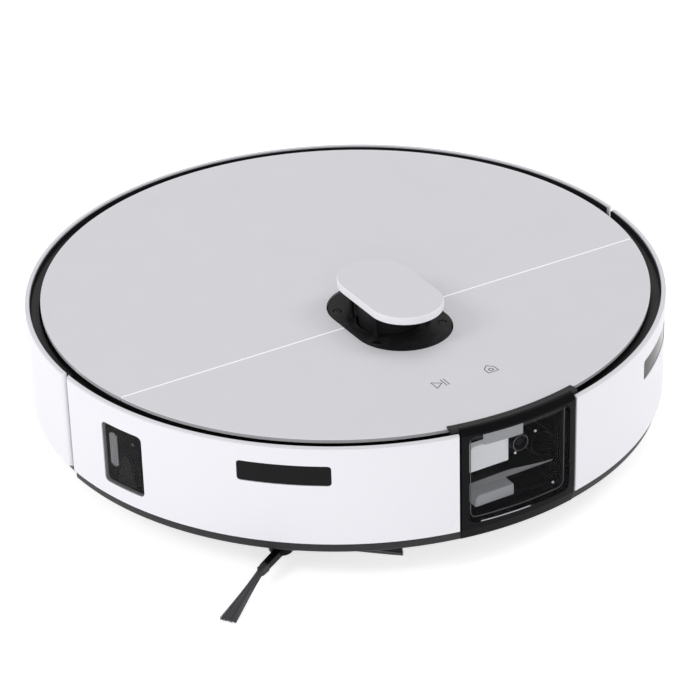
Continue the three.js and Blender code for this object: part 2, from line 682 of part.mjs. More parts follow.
function lidarHead() {
  const bore = SPINDLE_R + 0.5;
  const depth = HEAD_BOTTOM + 9.5;
  const drumTop = CAP_BOTTOM - 0.7;
  const profile = [
    [0, depth], [bore, depth], [bore, HEAD_BOTTOM],
    ...pulleyProfile(HEAD_R, HEAD_BOTTOM, PULLEY_H, PULLEY_GROOVE),
    [HEAD_R, drumTop - 1.5], [HEAD_R - 1.5, drumTop], [0, drumTop],
  ];
  const window = box([6, HEAD_R + 2], [-9, 9], [TURRET_TOP + 2.5, drumTop - 3]);
  const mesh = part('lidar_head', carve([lathe(profile, 24)], [window]), BLACK_PLASTIC);
  mesh.position.set(0, TURRET_Y, 0);
  return mesh;
}

function lidarBracket() {
  const y = [LIDAR_MOTOR_Y - 10, TURRET_Y + 22];
  const added = [
    box([-27, 27], y, [BRACKET_TOP - BRACKET_T, BRACKET_TOP]),
    drum(0, TURRET_Y, SPINDLE_R, BRACKET_TOP - 1, HEAD_BOTTOM + 8.5, 16),
  ];
  for (const x of [-24, 24]) {
    for (const py of [y[0] + 3, y[1] - 3]) {
      added.push(drum(x, py, 2.5, BRACKET_TOP - 1, INNER_Z - GAP, 12));
    }
  }
  const hole = drum(0, LIDAR_MOTOR_Y, 2, BRACKET_TOP - 4, BRACKET_TOP + 1, 12);
  return part('lidar_bracket', carve(added, [hole]), DARK_PLASTIC);
}

function lidarMotor() {
  const top = BRACKET_TOP - BRACKET_T - GAP;
  return part('lidar_motor', carve([drum(0, LIDAR_MOTOR_Y, LIDAR_MOTOR_R, top - LIDAR_MOTOR_H, top)]), STEEL);
}

function lidarMotorPulley() {
  const profile = [
    [0, BRACKET_TOP - 2], [1, BRACKET_TOP - 2], [1, HEAD_BOTTOM],
    ...pulleyProfile(MOTOR_PULLEY_R, HEAD_BOTTOM, PULLEY_H, PULLEY_GROOVE), [0, HEAD_BOTTOM + PULLEY_H],
  ];
  const mesh = part('lidar_motor_pulley', carve([lathe(profile, 16)]), GREY_PLASTIC);
  mesh.position.set(0, LIDAR_MOTOR_Y, 0);
  return mesh;
}

function lidarBelt() {
  const loop = (extra, z0, z1) => prism(hull(
    [0, TURRET_Y, HEAD_R - PULLEY_GROOVE + GAP + extra],
    [0, LIDAR_MOTOR_Y, MOTOR_PULLEY_R - PULLEY_GROOVE + GAP + extra],
    18,
  ), z0, z1);
  const z = [HEAD_BOTTOM + PULLEY_H * 0.27 + GAP, HEAD_BOTTOM + PULLEY_H * 0.73 - GAP];
  const sag = 0.25; // keeps the inner outline's flats off the pulleys
  const belt = carve([loop(BELT_W, ...z)], [loop(sag, z[0] - 1, z[1] + 1)]);
  return part('lidar_belt', belt, RUBBER);
}

// ---- Drive wheels ------------------------------------------------------------------------------

function aboutX(geometry) {
  return geometry.rotateY(Math.PI / 2);
}

function tyre(name) {
  const [r, w] = [WHEEL_R, WHEEL_W / 2];
  const inner = r - TYRE_T;
  const profile = [[inner, -w + 0.5], [r - 1.5, -w], [r, -w + 2], [r, w - 2], [r - 1.5, w], [inner, w - 0.5],
    [inner, -w + 0.5]];
  return part(name, carve([aboutX(lathe(profile, WHEEL_SIDES))]), RUBBER);
}

function rim(name) {
  const w = WHEEL_W / 2 - 0.5;
  const bore = AXLE_R + 0.4;
  const profile = [
    [bore, -w + 0.5], [9, -w + 0.5], [11, -w + 4], [RIM_R - 4, -w + 4], [RIM_R - 2, -w], [RIM_R, -w],
    [RIM_R, w], [RIM_R - 2, w], [RIM_R - 4, w - 4], [11, w - 4], [9, w - 0.5], [bore, w - 0.5],
    [bore, -w + 0.5],
  ];
  return part(name, carve([aboutX(lathe(profile, WHEEL_SIDES))]), GREY_PLASTIC);
}

// Swinging gearbox arm with its pivot pins and the wheel's axle; side is +1 on the robot's left.
function suspensionArm(name, side) {
  const across = (a, b) => [side * a, side * b].sort((p, q) => p - q);
  const outline = hull([ARM_PIVOT[0], ARM_PIVOT[1], ARM_PIVOT_R], [0, WHEEL_R, ARM_HUB_R]);
  const body = carve([
    prismX(outline, ...across(...ARM_X)),
    drumX(...across(ARM_X[0] - 4, ARM_X[1] + 4), ...ARM_PIVOT, PIVOT_R, 12),
    drumX(...across(ARM_X[1] - 2, WHEEL_X + WHEEL_W / 2 - 2), 0, WHEEL_R, AXLE_R, 16),
  ]);
  return part(name, body, DARK_PLASTIC);
}

class Helix extends THREE.Curve {
  constructor(radius, pitch, turns) {
    super();
    this.radius = radius;
    this.pitch = pitch;
    this.turns = turns;
  }

  getPoint(t, target = new THREE.Vector3()) {
    const a = 2 * Math.PI * this.turns * t;
    return target.set(this.radius * Math.cos(a), this.radius * Math.sin(a), this.pitch * this.turns * t);
  }
}

function suspensionSpring(name, side) {
  const bottom = WHEEL_R + ARM_HUB_R + GAP + SUSPENSION_WIRE_R;
  const height = INNER_Z - GAP - SUSPENSION_WIRE_R - bottom;
  const path = new Helix(SUSPENSION_COIL_R, height / SUSPENSION_TURNS, SUSPENSION_TURNS);
  const wire = new THREE.Shape(circle(SUSPENSION_WIRE_R, 0, 0, 5));
  const coil = new THREE.ExtrudeGeometry(wire, { steps: SUSPENSION_TURNS * 8, extrudePath: path });
  const mesh = part(name, carve([coil]), STEEL);
  mesh.position.set(side * (ARM_X[0] + ARM_X[1]) / 2, 0, bottom);
  return mesh;
}

function driveUnit(side) {
  const tag = side > 0 ? 'left' : 'right';
  const group = new THREE.Group();
  group.add(suspensionArm(`suspension_arm_${tag}`, side));
  group.add(suspensionSpring(`suspension_spring_${tag}`, side));
  group.add(placed(side * WHEEL_X, 0, WHEEL_R, tyre(`tyre_${tag}`), rim(`rim_${tag}`)));
  return group;
}

// ---- Caster ------------------------------------------------------------------------------------

function caster() {
  const slotX = CASTER_WHEEL_W / 2 + 0.8;
  const wheelTop = CASTER_WHEEL_R * 2 + 1.5;
  const pinZ = CASTER_WHEEL_R;
  const fork = carve([
    drum(0, 0, CASTER_R, pinZ - 3.5, CASTER_TOP, 36),
    drum(0, 0, STEM_R, CASTER_TOP - 1, CASTER_TOP + CASTER_PLAY + CASTER_WALL + 2, 16),
  ], [
    box([-slotX, slotX], [-CASTER_R - 1, CASTER_R + 1], [0, wheelTop]),
    drumX(-CASTER_R, CASTER_R, CASTER_TRAIL, pinZ, CASTER_PIN_R + 0.35, 12),
  ]);
  const pin = carve([drumX(-slotX - 6, slotX + 6, 0, 0, CASTER_PIN_R, 12)]);
  const pinMesh = part('caster_axle', pin, STEEL);
  pinMesh.position.set(0, CASTER_TRAIL, pinZ);
  const w = CASTER_WHEEL_W / 2;
  const bore = CASTER_PIN_R + 0.4;
  const profile = [[bore, -w], [CASTER_WHEEL_R - 2, -w], [CASTER_WHEEL_R, -w + 2.5], [CASTER_WHEEL_R, w - 2.5],
    [CASTER_WHEEL_R - 2, w], [bore, w], [bore, -w]];
  const wheel = part('caster_wheel', carve([aboutX(lathe(profile, 20))]), RUBBER);
  wheel.position.set(0, CASTER_TRAIL, pinZ);
  return placed(0, CASTER_Y, 0, part('caster_fork', fork, DARK_PLASTIC), pinMesh, wheel);
}

// ---- Main brush --------------------------------------------------------------------------------

// Six blades that wind into a shallow V from both ends towards the middle.
function mainBrush() {
  const blades = 6;
  const twist = rad(70);
  const outline = [];
  for (let i = 0; i < blades; i++) {
    const middle = (i / blades) * 2 * Math.PI;
    for (const [r, offset] of [[BRUSH_CORE_R, -26], [BRUSH_R, -4], [BRUSH_R, 4], [BRUSH_CORE_R, 26]]) {
      const a = middle + rad(offset);
      outline.push(new THREE.Vector2(r * Math.cos(a), r * Math.sin(a)));
    }
  }
  const shape = new THREE.Shape(outline);
  const star = new THREE.ExtrudeGeometry(shape, { depth: 2 * BRUSH_HALF, steps: 12, bevelEnabled: false });
  const position = star.attributes.position;
  for (let i = 0; i < position.count; i++) {
    const along = position.getZ(i) - BRUSH_HALF;
    const turn = twist * Math.abs(along / BRUSH_HALF);
    const [x, y] = [position.getX(i), position.getY(i)];
    position.setXYZ(i, x * Math.cos(turn) - y * Math.sin(turn), x * Math.sin(turn) + y * Math.cos(turn), along);
  }
  const shaft = drum(0, 0, BRUSH_SHAFT_R, -CHAMBER_HALF + 0.5, CHAMBER_HALF - 0.5, 12);
  const mesh = part('main_brush', carve([aboutX(star), aboutX(shaft)]), BRISTLE);
  mesh.position.set(0, BRUSH_Y, BRUSH_Z);
  return mesh;
}

function brushHousing() {
  const outer = CHAMBER_R + CHAMBER_WALL;
  const foot = BASE_Z + BASE_T + GAP;
  const half = CHAMBER_HALF;
  const inside = half - CHAMBER_WALL;
  const arch = (r, x) => [
    drumX(-x, x, BRUSH_Y, BRUSH_Z, r, 32),
    box([-x, x], [BRUSH_Y - r, BRUSH_Y + r], [foot - 20, BRUSH_Z]),
  ];
  const spout = box(SPOUT_X, [BRUSH_Y + CHAMBER_R - 6.5, BIN_Y[0] - 0.5], SPOUT_Z);
  const duct = box([SPOUT_X[0] + 2.5, SPOUT_X[1] - 2.5], [BRUSH_Y + CHAMBER_R - 16.5, BIN_Y[0] + 1],
    [SPOUT_Z[0] + 2.5, SPOUT_Z[1] - 2.5]);
  const body = carve([...arch(outer, half), spout], [
    ...arch(CHAMBER_R, inside),
    duct,
    box([-half - 1, half + 1], [-20, 80], [-20, foot]),
    drumX(-half - 1, half + 1, BRUSH_Y, BRUSH_Z, BRUSH_SHAFT_R + 0.5, 12),
  ]);
  return part('brush_housing', body, DARK_PLASTIC);
}

function brushBearing(name, side) {
  const bore = BRUSH_SHAFT_R + 0.4;
  const profile = [[bore, 0], [BRUSH_END_R, 0], [BRUSH_END_R, 2.2], [bore, 2.2], [bore, 0]];
  const mesh = part(name, carve([aboutX(lathe(profile, 16))]), GREY_PLASTIC);
  mesh.position.set(side > 0 ? BRUSH_HALF + 0.4 : -BRUSH_HALF - 2.6, BRUSH_Y, BRUSH_Z);
  return mesh;
}

function brushGuard() {
  const z = [BASE_Z - GAP - GUARD_T, BASE_Z - GAP];
  const x = CHAMBER_HALF - CHAMBER_WALL;
  const frame = carve([box([-x - 4.5, x + 4.5], [BRUSH_Y - CHAMBER_R - 5, BRUSH_Y + CHAMBER_R + 5], z)], [
    box([-x, x], [BRUSH_Y - CHAMBER_R + 0.5, BRUSH_Y + CHAMBER_R - 0.5], [z[0] - 1, z[1] + 1]),
  ]);
  return part('brush_guard', frame, DARK_PLASTIC);
}

function brushDrive() {
  const motorR = 9;
  const motorZ = INNER_Z - motorR - 3.8;
  const apart = CHAMBER_R + CHAMBER_WALL + motorR + 1.23; // between the motor's and the roller's axes
  const rise = Math.min(motorZ - BRUSH_Z, apart);
  const motorAt = [BRUSH_Y - Math.sqrt(apart ** 2 - rise ** 2), motorZ];
  const motorEnd = CHAMBER_HALF - 2;
  const motor = carve([
    drumX(motorEnd - 44, motorEnd, ...motorAt, motorR),
    drumX(motorEnd - 47, motorEnd - 43, ...motorAt, 3, 12),
  ]);
  const outline = hull([BRUSH_Y, BRUSH_Z, BRUSH_END_R], [...motorAt, motorR], 10);
  const gearbox = carve([prismX(outline, CHAMBER_HALF + 0.4, CHAMBER_HALF + 4)]);
  return [part('brush_motor', motor, STEEL), part('brush_gearbox', gearbox, DARK_PLASTIC)];
}

// ---- Side brush --------------------------------------------------------------------------------

function sideBrush() {
  const hubShapes = [
    drum(0, 0, SIDE_HUB_R, ...SIDE_HUB_Z, 24),
    drum(0, 0, SIDE_SHAFT_R, SIDE_HUB_Z[1] - 1, RIM_TOP + 3, 12),
  ];
  const tufts = [];
  for (let i = 0; i < 3; i++) {
    const turn = rad(SIDE_BRUSH_TURN + 120 * i);
    hubShapes.push(box([SIDE_HUB_R - 3, SIDE_ARM_END], [-3.5, 3.5], [5.4, 9.2]).rotateZ(turn));
    const side = [[SIDE_ARM_END + GAP, 5.6], [SIDE_BRUSH_REACH - 3, 1], [SIDE_BRUSH_REACH, 1.2],
      [SIDE_BRUSH_REACH - 2, 3.2], [SIDE_ARM_END + GAP, 9]].map(([x, z]) => new THREE.Vector2(x, z));
    const tuft = prism(side, -3, 3).rotateX(Math.PI / 2);
    const position = tuft.attributes.position;
    for (let k = 0; k < position.count; k++) {
      const spread = 1 + (position.getX(k) - SIDE_ARM_END) / 36;
      position.setY(k, position.getY(k) * spread);
    }
    const mesh = part(`side_brush_tuft_${i + 1}`, carve([tuft]), BRISTLE);
    mesh.rotation.z = turn;
    tufts.push(mesh);
  }
  return placed(...SIDE_BRUSH, 0, part('side_brush_hub', carve(hubShapes), BLACK_PLASTIC), ...tufts);
}

function sideBrushGearbox() {
  const outline = hull([...SIDE_BRUSH, 4.8], [SIDE_BRUSH[0] + 20.6, SIDE_BRUSH[1] + 27.2, 15], 12);
  return part('side_brush_gearbox', carve([prism(outline, RIM_TOP + 3.3, BOARD_Z - 2)]), DARK_PLASTIC);
}

// ---- Dust bin, fan, battery and board ----------------------------------------------------------

// The bin's plan, grown by a margin: a box whose rear follows the round body.
function binOutline(margin, z0, z1) {
  const plan = box([BIN_X[0] - margin, BIN_X[1] + margin], [BIN_Y[0] - margin, BIN_Y[1] + margin], [z0, z1]);
  return solid(plan).intersect(solid(prism(circle(BIN_EDGE_R + margin), z0 - 1, z1 + 1)));
}

function dustBin() {
  const [z0, z1] = BIN_Z;
  const hollow = binOutline(-BIN_WALL, z0 + BIN_WALL, z1 + 1);
  const inlet = solid(box([SPOUT_X[0] + 4, SPOUT_X[1] - 4], [BIN_Y[0] - 1, BIN_Y[0] + BIN_WALL + 1],
    [SPOUT_Z[0] + 4, SPOUT_Z[1] - 4]));
  return part('dust_bin', binOutline(0, z0, z1).subtract(hollow).subtract(inlet), CLEAR_GREY);
}

function binCover() {
  const [z0, z1] = [BIN_Z[1] + GAP, BIN_Z[1] + GAP + BIN_COVER_T];
  let cover = binOutline(0, z0, z1);
  cover = cover.add(solid(box([BIN_X[0] + 18, BIN_X[1] - 18], FILTER_Y, [z1 - 0.5, z1 + 3])));
  for (let x = BIN_X[0] + 24; x < BIN_X[1] - 24; x += 9) {
    cover = cover.subtract(solid(box([x, x + 5], [FILTER_Y[0] + 5, FILTER_Y[1] - 5], [z0 + 1.2, z1 + 4])));
  }
  return part('bin_cover', cover, BLACK_PLASTIC);
}

function fan() {
  const [x, y] = FAN_AT;
  const [z0, z1] = FAN_Z;
  const housing = carve([drum(x, y, FAN_R, z0, z1, 28)], [
    drum(x, y, FAN_R - 2.5, z0 + 2.5, z1 + 1, 28),
    box([x + 8, x + 40], [y + 8, y + 40], [z0 + 5, z1 - 3]),
  ]);
  const parts = [drum(0, 0, IMPELLER_R, 0, 1.5, 24), drum(0, 0, 6, 0, 16, 16), drum(0, 0, 2, -3, 1, 12)];
  for (let i = 0; i < 9; i++) {
    parts.push(box([4, IMPELLER_R - 0.5], [-0.8, 0.8], [1, 13]).rotateZ(rad(40 * i)));
  }
  const impeller = part('fan_impeller', carve(parts), PALE_PLASTIC);
  impeller.position.set(x, y, z0 + 6.5);
  return [part('fan_housing', housing, DARK_PLASTIC), impeller];
}

function battery() {
  return part('battery', carve([box([-BATTERY_X, BATTERY_X], BATTERY_Y, BATTERY_Z)]), BATTERY_BLUE);
}

function mainBoard() {
  const top = BOARD_Z + BOARD_T;
  // Corner, size and height of each tall piece on the board.
  const chips = [[-58, -100, 16, 16, 2], [-30, -62, 12, 12, 2], [34, -100, 22, 12, 6], [40, -64, 14, 10, 7],
    [-62, -62, 10, 14, 6]];
  const added = [box([-BOARD_X, BOARD_X], BOARD_Y, [BOARD_Z, top])];
  for (const [x, y, w, d, h] of chips) added.push(box([x, x + w], [y, y + d], [top - 0.5, top + h]));
  const hole = drum(0, LIDAR_MOTOR_Y, LIDAR_MOTOR_R + 1.5, BOARD_Z - 1, top + 1, 20);
  return part('main_board', carve(added, [hole]), BOARD_GREEN);
}

function chargeContact(name, side) {
  const [w, d, t] = CONTACT_SIZE;
  const top = BASE_Z - GAP;
  const contact = carve([
    box([-w / 2, w / 2], [-d / 2, d / 2], [top - t, top]),
    drum(0, 0, 1.5, top - t / 2, BASE_Z + BASE_T + 1.5, 12),
  ]);
  const mesh = part(name, contact, GOLD_CONTACT);
  mesh.position.set(side * CONTACT_AT[0], CONTACT_AT[1], 0);
  return mesh;
}

// ---- The robot ---------------------------------------------------------------------------------

const robot = new THREE.Group();
robot.add(chassisBase(), midFrame(), innerDeck(), rearSideShell(), deckFront(), lid());

const bumper = new THREE.Group();
bumper.add(bumperPanel(-1), bumperPanel(1), bumperCarrier(), frontWindow());
bumper.add(sensorWindow('ir_window_left', ...IR_BEARING, IR_Z));
bumper.add(sensorWindow('ir_window_right', -IR_BEARING[1], -IR_BEARING[0], IR_Z));
bumper.add(sensorWindow('wall_sensor_window', -WALL_SENSOR_BEARING[1], -WALL_SENSOR_BEARING[0], WALL_SENSOR_Z));
robot.add(bumper);

robot.add(opticsHousing(), cameraBarrel(), cameraLens(), fillLight(), lineLaser());
robot.add(turretBase(), turretCap(), lidarHead(), lidarBracket(), lidarMotor(), lidarMotorPulley(), lidarBelt());
turretScrewPlaces().forEach(([x, y], i) => robot.add(turretScrew(x, y, i + 1)));

robot.add(driveUnit(-1), driveUnit(1), caster());
robot.add(mainBrush(), brushHousing(), brushBearing('brush_bearing_left', 1), brushBearing('brush_bearing_right', -1));
robot.add(brushGuard(), ...brushDrive(), sideBrush(), sideBrushGearbox());
robot.add(dustBin(), binCover(), ...fan(), battery(), mainBoard());
robot.add(chargeContact('charge_contact_left', 1), chargeContact('charge_contact_right', -1));

export default robot;
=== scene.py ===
import json
import math
import random

import bmesh
import bpy
from mathutils import Matrix, Vector

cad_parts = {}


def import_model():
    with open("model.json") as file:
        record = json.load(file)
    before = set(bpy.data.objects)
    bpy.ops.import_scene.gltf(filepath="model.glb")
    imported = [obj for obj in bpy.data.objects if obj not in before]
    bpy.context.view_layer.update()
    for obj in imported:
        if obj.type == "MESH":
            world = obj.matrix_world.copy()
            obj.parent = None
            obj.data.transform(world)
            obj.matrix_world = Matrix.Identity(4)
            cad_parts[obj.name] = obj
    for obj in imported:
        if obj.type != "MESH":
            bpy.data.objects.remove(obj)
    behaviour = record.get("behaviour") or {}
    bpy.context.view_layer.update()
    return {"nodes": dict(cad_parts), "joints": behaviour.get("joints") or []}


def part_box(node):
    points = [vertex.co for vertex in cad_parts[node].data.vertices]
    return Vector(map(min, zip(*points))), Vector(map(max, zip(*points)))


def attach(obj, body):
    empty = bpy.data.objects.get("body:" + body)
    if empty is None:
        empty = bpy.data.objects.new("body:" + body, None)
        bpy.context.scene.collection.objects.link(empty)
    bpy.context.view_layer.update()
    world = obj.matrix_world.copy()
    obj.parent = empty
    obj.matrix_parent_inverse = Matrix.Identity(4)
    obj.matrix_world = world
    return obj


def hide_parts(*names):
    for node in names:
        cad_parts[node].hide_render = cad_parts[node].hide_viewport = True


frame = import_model()

bl_info = {
    "name": "Robot Vacuum Parts",
    "version": (1, 0, 0),
    "blender": (4, 5, 0),
    "location": "View3D > Sidebar > Robot Vacuum",
    "description": "Makes the shell, turret, optics, wheels and brushes of a round robot vacuum",
    "category": "Add Mesh",
}

MM = 0.001
SEED = 7

# ---- Places taken from the frame ---------------------------------------------------------------

BODY_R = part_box("rear_side_shell")[1].x
BODY_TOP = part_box("rear_side_shell")[1].z
SIDE_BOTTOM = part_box("rear_side_shell")[0].z
CAP_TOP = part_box("turret_cap")[1].z
LIP_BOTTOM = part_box("bumper_carrier")[0].z
BASE_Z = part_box("chassis_base")[0].z
BASE_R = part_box("chassis_base")[1].x
WHEEL_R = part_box("tyre_left")[1].z / 2
WHEEL_X = (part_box("tyre_left")[0].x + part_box("tyre_left")[1].x) / 2
WHEEL_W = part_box("tyre_left")[1].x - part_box("tyre_left")[0].x
TURRET_Y = (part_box("lidar_head")[0].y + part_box("lidar_head")[1].y) / 2
CAP_Y = (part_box("turret_cap")[0].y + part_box("turret_cap")[1].y) / 2
CAP_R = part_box("turret_cap")[1].x
CAP_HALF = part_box("turret_cap")[1].y - CAP_Y - CAP_R
PLATE_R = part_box("turret_base")[1].x
PLATE_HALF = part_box("turret_base")[1].y - TURRET_Y - PLATE_R
PLATE_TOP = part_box("turret_base")[1].z
HEAD_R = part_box("lidar_head")[1].x
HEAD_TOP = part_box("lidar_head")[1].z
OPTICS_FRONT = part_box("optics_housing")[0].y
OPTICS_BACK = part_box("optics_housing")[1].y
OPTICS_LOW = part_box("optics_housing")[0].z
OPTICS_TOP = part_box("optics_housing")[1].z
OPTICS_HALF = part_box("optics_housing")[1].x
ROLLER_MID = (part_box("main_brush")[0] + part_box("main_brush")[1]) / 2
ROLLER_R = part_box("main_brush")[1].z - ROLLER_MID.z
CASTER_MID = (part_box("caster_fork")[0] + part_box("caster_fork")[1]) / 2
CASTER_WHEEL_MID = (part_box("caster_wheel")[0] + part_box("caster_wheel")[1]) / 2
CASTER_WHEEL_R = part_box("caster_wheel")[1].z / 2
SIDE_BRUSH = Vector(next(j for j in frame["joints"] if j["name"] == "side_brush_spin")["pos_m"])
HINGE = next(j for j in frame["joints"] if j["name"] == "lid_hinge")["pos_m"]


# ---- Sizes and colours that a user may change --------------------------------------------------


def length(name, description, default, low=0.0):
    """A length property in metres."""
    return bpy.props.FloatProperty(
        name=name, description=description, default=default, min=low,
        unit="LENGTH", subtype="DISTANCE", precision=5,
    )


def colour(name, description, default):
    """A colour property."""
    return bpy.props.FloatVectorProperty(
        name=name, description=description, default=default, min=0.0, max=1.0,
        size=3, subtype="COLOR",
    )


class RobotSizes(bpy.types.PropertyGroup):
    """Sizes of the robot's visible pieces."""

    side_wall: length("Side Wall", "Thickness of the white side", 2.6 * MM)
    groove: length("Groove", "Width of the dark groove round the deck", 6.0 * MM)
    top_round: length("Top Rounding", "Rounding of the side's upper outer edge", 1.1 * MM)
    end_round: length("End Rounding", "Rounding of the panels' ends at the side gaps", 2.4 * MM)
    deck_edge: length("Deck Edge", "Bevel round the deck's edge", 0.6 * MM)
    window_play: length("Window Gap", "Gap round the sensor windows", 0.25 * MM)
    seam: length("Seam", "Gap between the deck and the lid", 0.8 * MM)
    cap_edge: length("Cap Edge", "Rounding of the turret cap's upper edge", 0.9 * MM)
    icon_line: length("Icon Line", "Width of the printed icon lines", 0.5 * MM)
    bristle: length("Bristle", "Radius of one side brush bristle", 0.2 * MM)
    bristles: bpy.props.IntProperty(
        name="Bristles", description="Bristles in each tuft", default=110, min=8, max=400,
    )
    arc_step: bpy.props.FloatProperty(
        name="Arc Step", description="Angle between the corners of large arcs",
        default=math.radians(0.75), min=math.radians(0.25), max=math.radians(6.0),
        unit="ROTATION", subtype="ANGLE",
    )


class RobotColours(bpy.types.PropertyGroup):
    """Colours of the robot's finishes, in linear light."""

    shell: colour("Side", "White side and turret cap", (0.80, 0.795, 0.84))
    deck: colour("Deck", "Cool white deck and lid", (0.775, 0.77, 0.81))
    black: colour("Black", "Fine textured black plastic", (0.017, 0.017, 0.019))
    charcoal: colour("Charcoal", "Charcoal plastic of the underside", (0.032, 0.033, 0.036))
    gloss: colour("Gloss Black", "Polished sensor windows", (0.006, 0.006, 0.007))
    grey: colour("Grey", "Mid grey mouldings", (0.23, 0.235, 0.25))
    pale: colour("Pale", "Light diffusers", (0.62, 0.63, 0.66))
    rubber: colour("Rubber", "Tyres and roller fins", (0.021, 0.021, 0.023))
    bristle: colour("Bristle", "Nylon bristles", (0.10, 0.10, 0.108))
    print_grey: colour("Print", "Printed icons", (0.11, 0.11, 0.12))


def sizes():
    """The scene's robot sizes."""
    return bpy.context.scene.robot_sizes


def colours():
    """The scene's robot colours."""
    return bpy.context.scene.robot_colours


# ---- Outlines and profiles ---------------------------------------------------------------------


def spot(radius, bearing, z=0.0):
    """The point at a radius and a bearing in degrees from straight ahead, towards the robot's left."""
    turn = math.radians(bearing)
    return Vector((radius * math.sin(turn), -radius * math.cos(turn), z))


def arc(centre, radius, start, stop, steps):
    """Points along an arc, with angles in degrees from +X."""
    points = []
    for i in range(steps + 1):
        turn = math.radians(start + (stop - start) * i / steps)
        points.append((centre[0] + radius * math.cos(turn), centre[1] + radius * math.sin(turn)))
    return points


def filleted(points, radii, steps=4):
    """A closed outline with each corner replaced by an arc of its radius."""
    out = []
    count = len(points)
    for i, corner in enumerate(points):
        here = Vector(corner)
        before = (Vector(points[i - 1]) - here)
        after = (Vector(points[(i + 1) % count]) - here)
        radius = radii[i] if hasattr(radii, "__len__") else radii
        if radius <= 0:
            out.append(tuple(here))
            continue
        half = before.angle(after) / 2
        reach = min(radius / math.tan(half), before.length * 0.49, after.length * 0.49)
        radius = reach * math.tan(half)
        middle = here + (before.normalized() + after.normalized()).normalized() * (radius / math.sin(half))
        start = here + before.normalized() * reach - middle
        turn = math.pi - 2 * half
        side = -1 if start.x * after.y - start.y * after.x < 0 else 1
        for k in range(steps + 1):
            angle = side * turn * k / steps
            cosine, sine = math.cos(angle), math.sin(angle)
            out.append((
                middle.x + start.x * cosine - start.y * sine,
                middle.y + start.x * sine + start.y * cosine,
            ))
    return out


def rectangle(x0, x1, y0, y1, radius=0.0, steps=4):
    """A rectangle's outline with rounded corners."""
    return filleted([(x0, y0), (x1, y0), (x1, y1), (x0, y1)], radius, steps)


def circle(radius, x=0.0, y=0.0, sides=48):
    """A circle's outline."""
    return arc((x, y), radius, 0, 360 * (sides - 1) / sides, sides - 1)


def stadium(radius, half, y=0.0, steps=32):
    """A stadium's outline with its straight sides along Y."""
    return arc((0, y + half), radius, 0, 180, steps) + arc((0, y - half), radius, 180, 360, steps)


def steps_between(start, stop, fine_start=0.0, fine_stop=0.0):
    """Bearings from start to stop, closer together over the given stretches at the ends."""
    step = math.degrees(sizes().arc_step)
    marks = [start]
    for stretch, count in ((fine_start, 6),):
        marks += [start + stretch * (1 - math.cos(math.pi / 2 * k / count)) for k in range(1, count + 1)
                  if stretch > 0]
    last = stop - fine_stop
    spans = max(1, round((last - marks[-1]) / step))
    first = marks[-1]
    marks += [first + (last - first) * k / spans for k in range(1, spans + 1)]
    if fine_stop > 0:
        marks += [last + fine_stop * math.sin(math.pi / 2 * k / 6) for k in range(1, 7)]
    return marks


# ---- Mesh code ---------------------------------------------------------------------------------


def closed(bm):
    """Turns every face outwards."""
    bmesh.ops.remove_doubles(bm, verts=bm.verts, dist=1e-7)
    bmesh.ops.recalc_face_normals(bm, faces=bm.faces)
    return bm


def skin(rings, loop=False, capped=True):
    """A mesh through rings of points; loop joins the last ring to the first."""
    bm = bmesh.new()
    rows = [[bm.verts.new(point) for point in ring] for ring in rings]
    count = len(rows[0])
    pairs = list(zip(rows, rows[1:]))
    if loop:
        pairs.append((rows[-1], rows[0]))
    for first, second in pairs:
        for i in range(count):
            j = (i + 1) % count
            bm.faces.new((first[i], first[j], second[j], second[i]))
    if capped and not loop:
        bm.faces.new(rows[0])
        bm.faces.new(rows[-1][::-1])
    return closed(bm)


def sweep(profile, start, stop, round_start=0.0, round_stop=0.0):
    """A closed (radius, height) profile carried round the body from one bearing to another."""
    outer = max(r for r, z in profile)
    inner = min(r for r, z in profile)
    degree = math.radians(1) * outer
    marks = steps_between(start, stop, round_start / degree, round_stop / degree)
    full = abs(stop - start - 360) < 1e-6
    if full:
        marks = marks[:-1]
    rings = []
    for mark in marks:
        drop = 0.0
        for reach, gap in ((round_start, mark - start), (round_stop, stop - mark)):
            away = gap * degree
            if reach > 0 and away < reach:
                drop = max(drop, reach - math.sqrt(max(0.0, reach**2 - (reach - away) ** 2)))
        drop = min(drop, (outer - inner) * 0.8)
        rings.append([spot(r - drop * (r - inner) / (outer - inner), mark, z) for r, z in profile])
    return skin(rings, loop=full)


def plate(outline, z0, z1):
    """An outline raised from one height to another."""
    return skin([[Vector((x, y, z)) for x, y in outline] for z in (z0, z1)])


def loft(outline, stack):
    """A solid through outline(inset) at each (inset, height) of the stack."""
    return skin([[Vector((x, y, z)) for x, y in outline(inset)] for inset, z in stack])


def turned(profile, x=0.0, y=0.0, sides=64):
    """A closed (radius, height) profile turned about a vertical line; it may start and end on the axis."""
    rings = []
    for i in range(sides):
        turn = 2 * math.pi * i / sides
        rings.append([Vector((x + r * math.cos(turn), y + r * math.sin(turn), z)) for r, z in profile])
    bm = bmesh.new()
    rows = [[bm.verts.new(point) for point in ring] for ring in rings]
    count = len(profile)
    on_axis = profile[0][0] < 1e-9 and profile[-1][0] < 1e-9
    for first, second in zip(rows, rows[1:] + rows[:1]):
        for i in range(count - 1 if on_axis else count):
            j = (i + 1) % count
            bm.faces.new((first[i], first[j], second[j], second[i]))
    bmesh.ops.remove_doubles(bm, verts=bm.verts, dist=1e-8)
    bmesh.ops.dissolve_degenerate(bm, dist=1e-9, edges=bm.edges)
    bmesh.ops.recalc_face_normals(bm, faces=bm.faces)
    return bm


def block(x, y, z):
    """A box from its three ranges."""
    return plate(rectangle(x[0], x[1], y[0], y[1]), z[0], z[1])


def moved(bm, matrix):
    """The mesh after a matrix."""
    bmesh.ops.transform(bm, matrix=matrix, verts=bm.verts)
    return bm


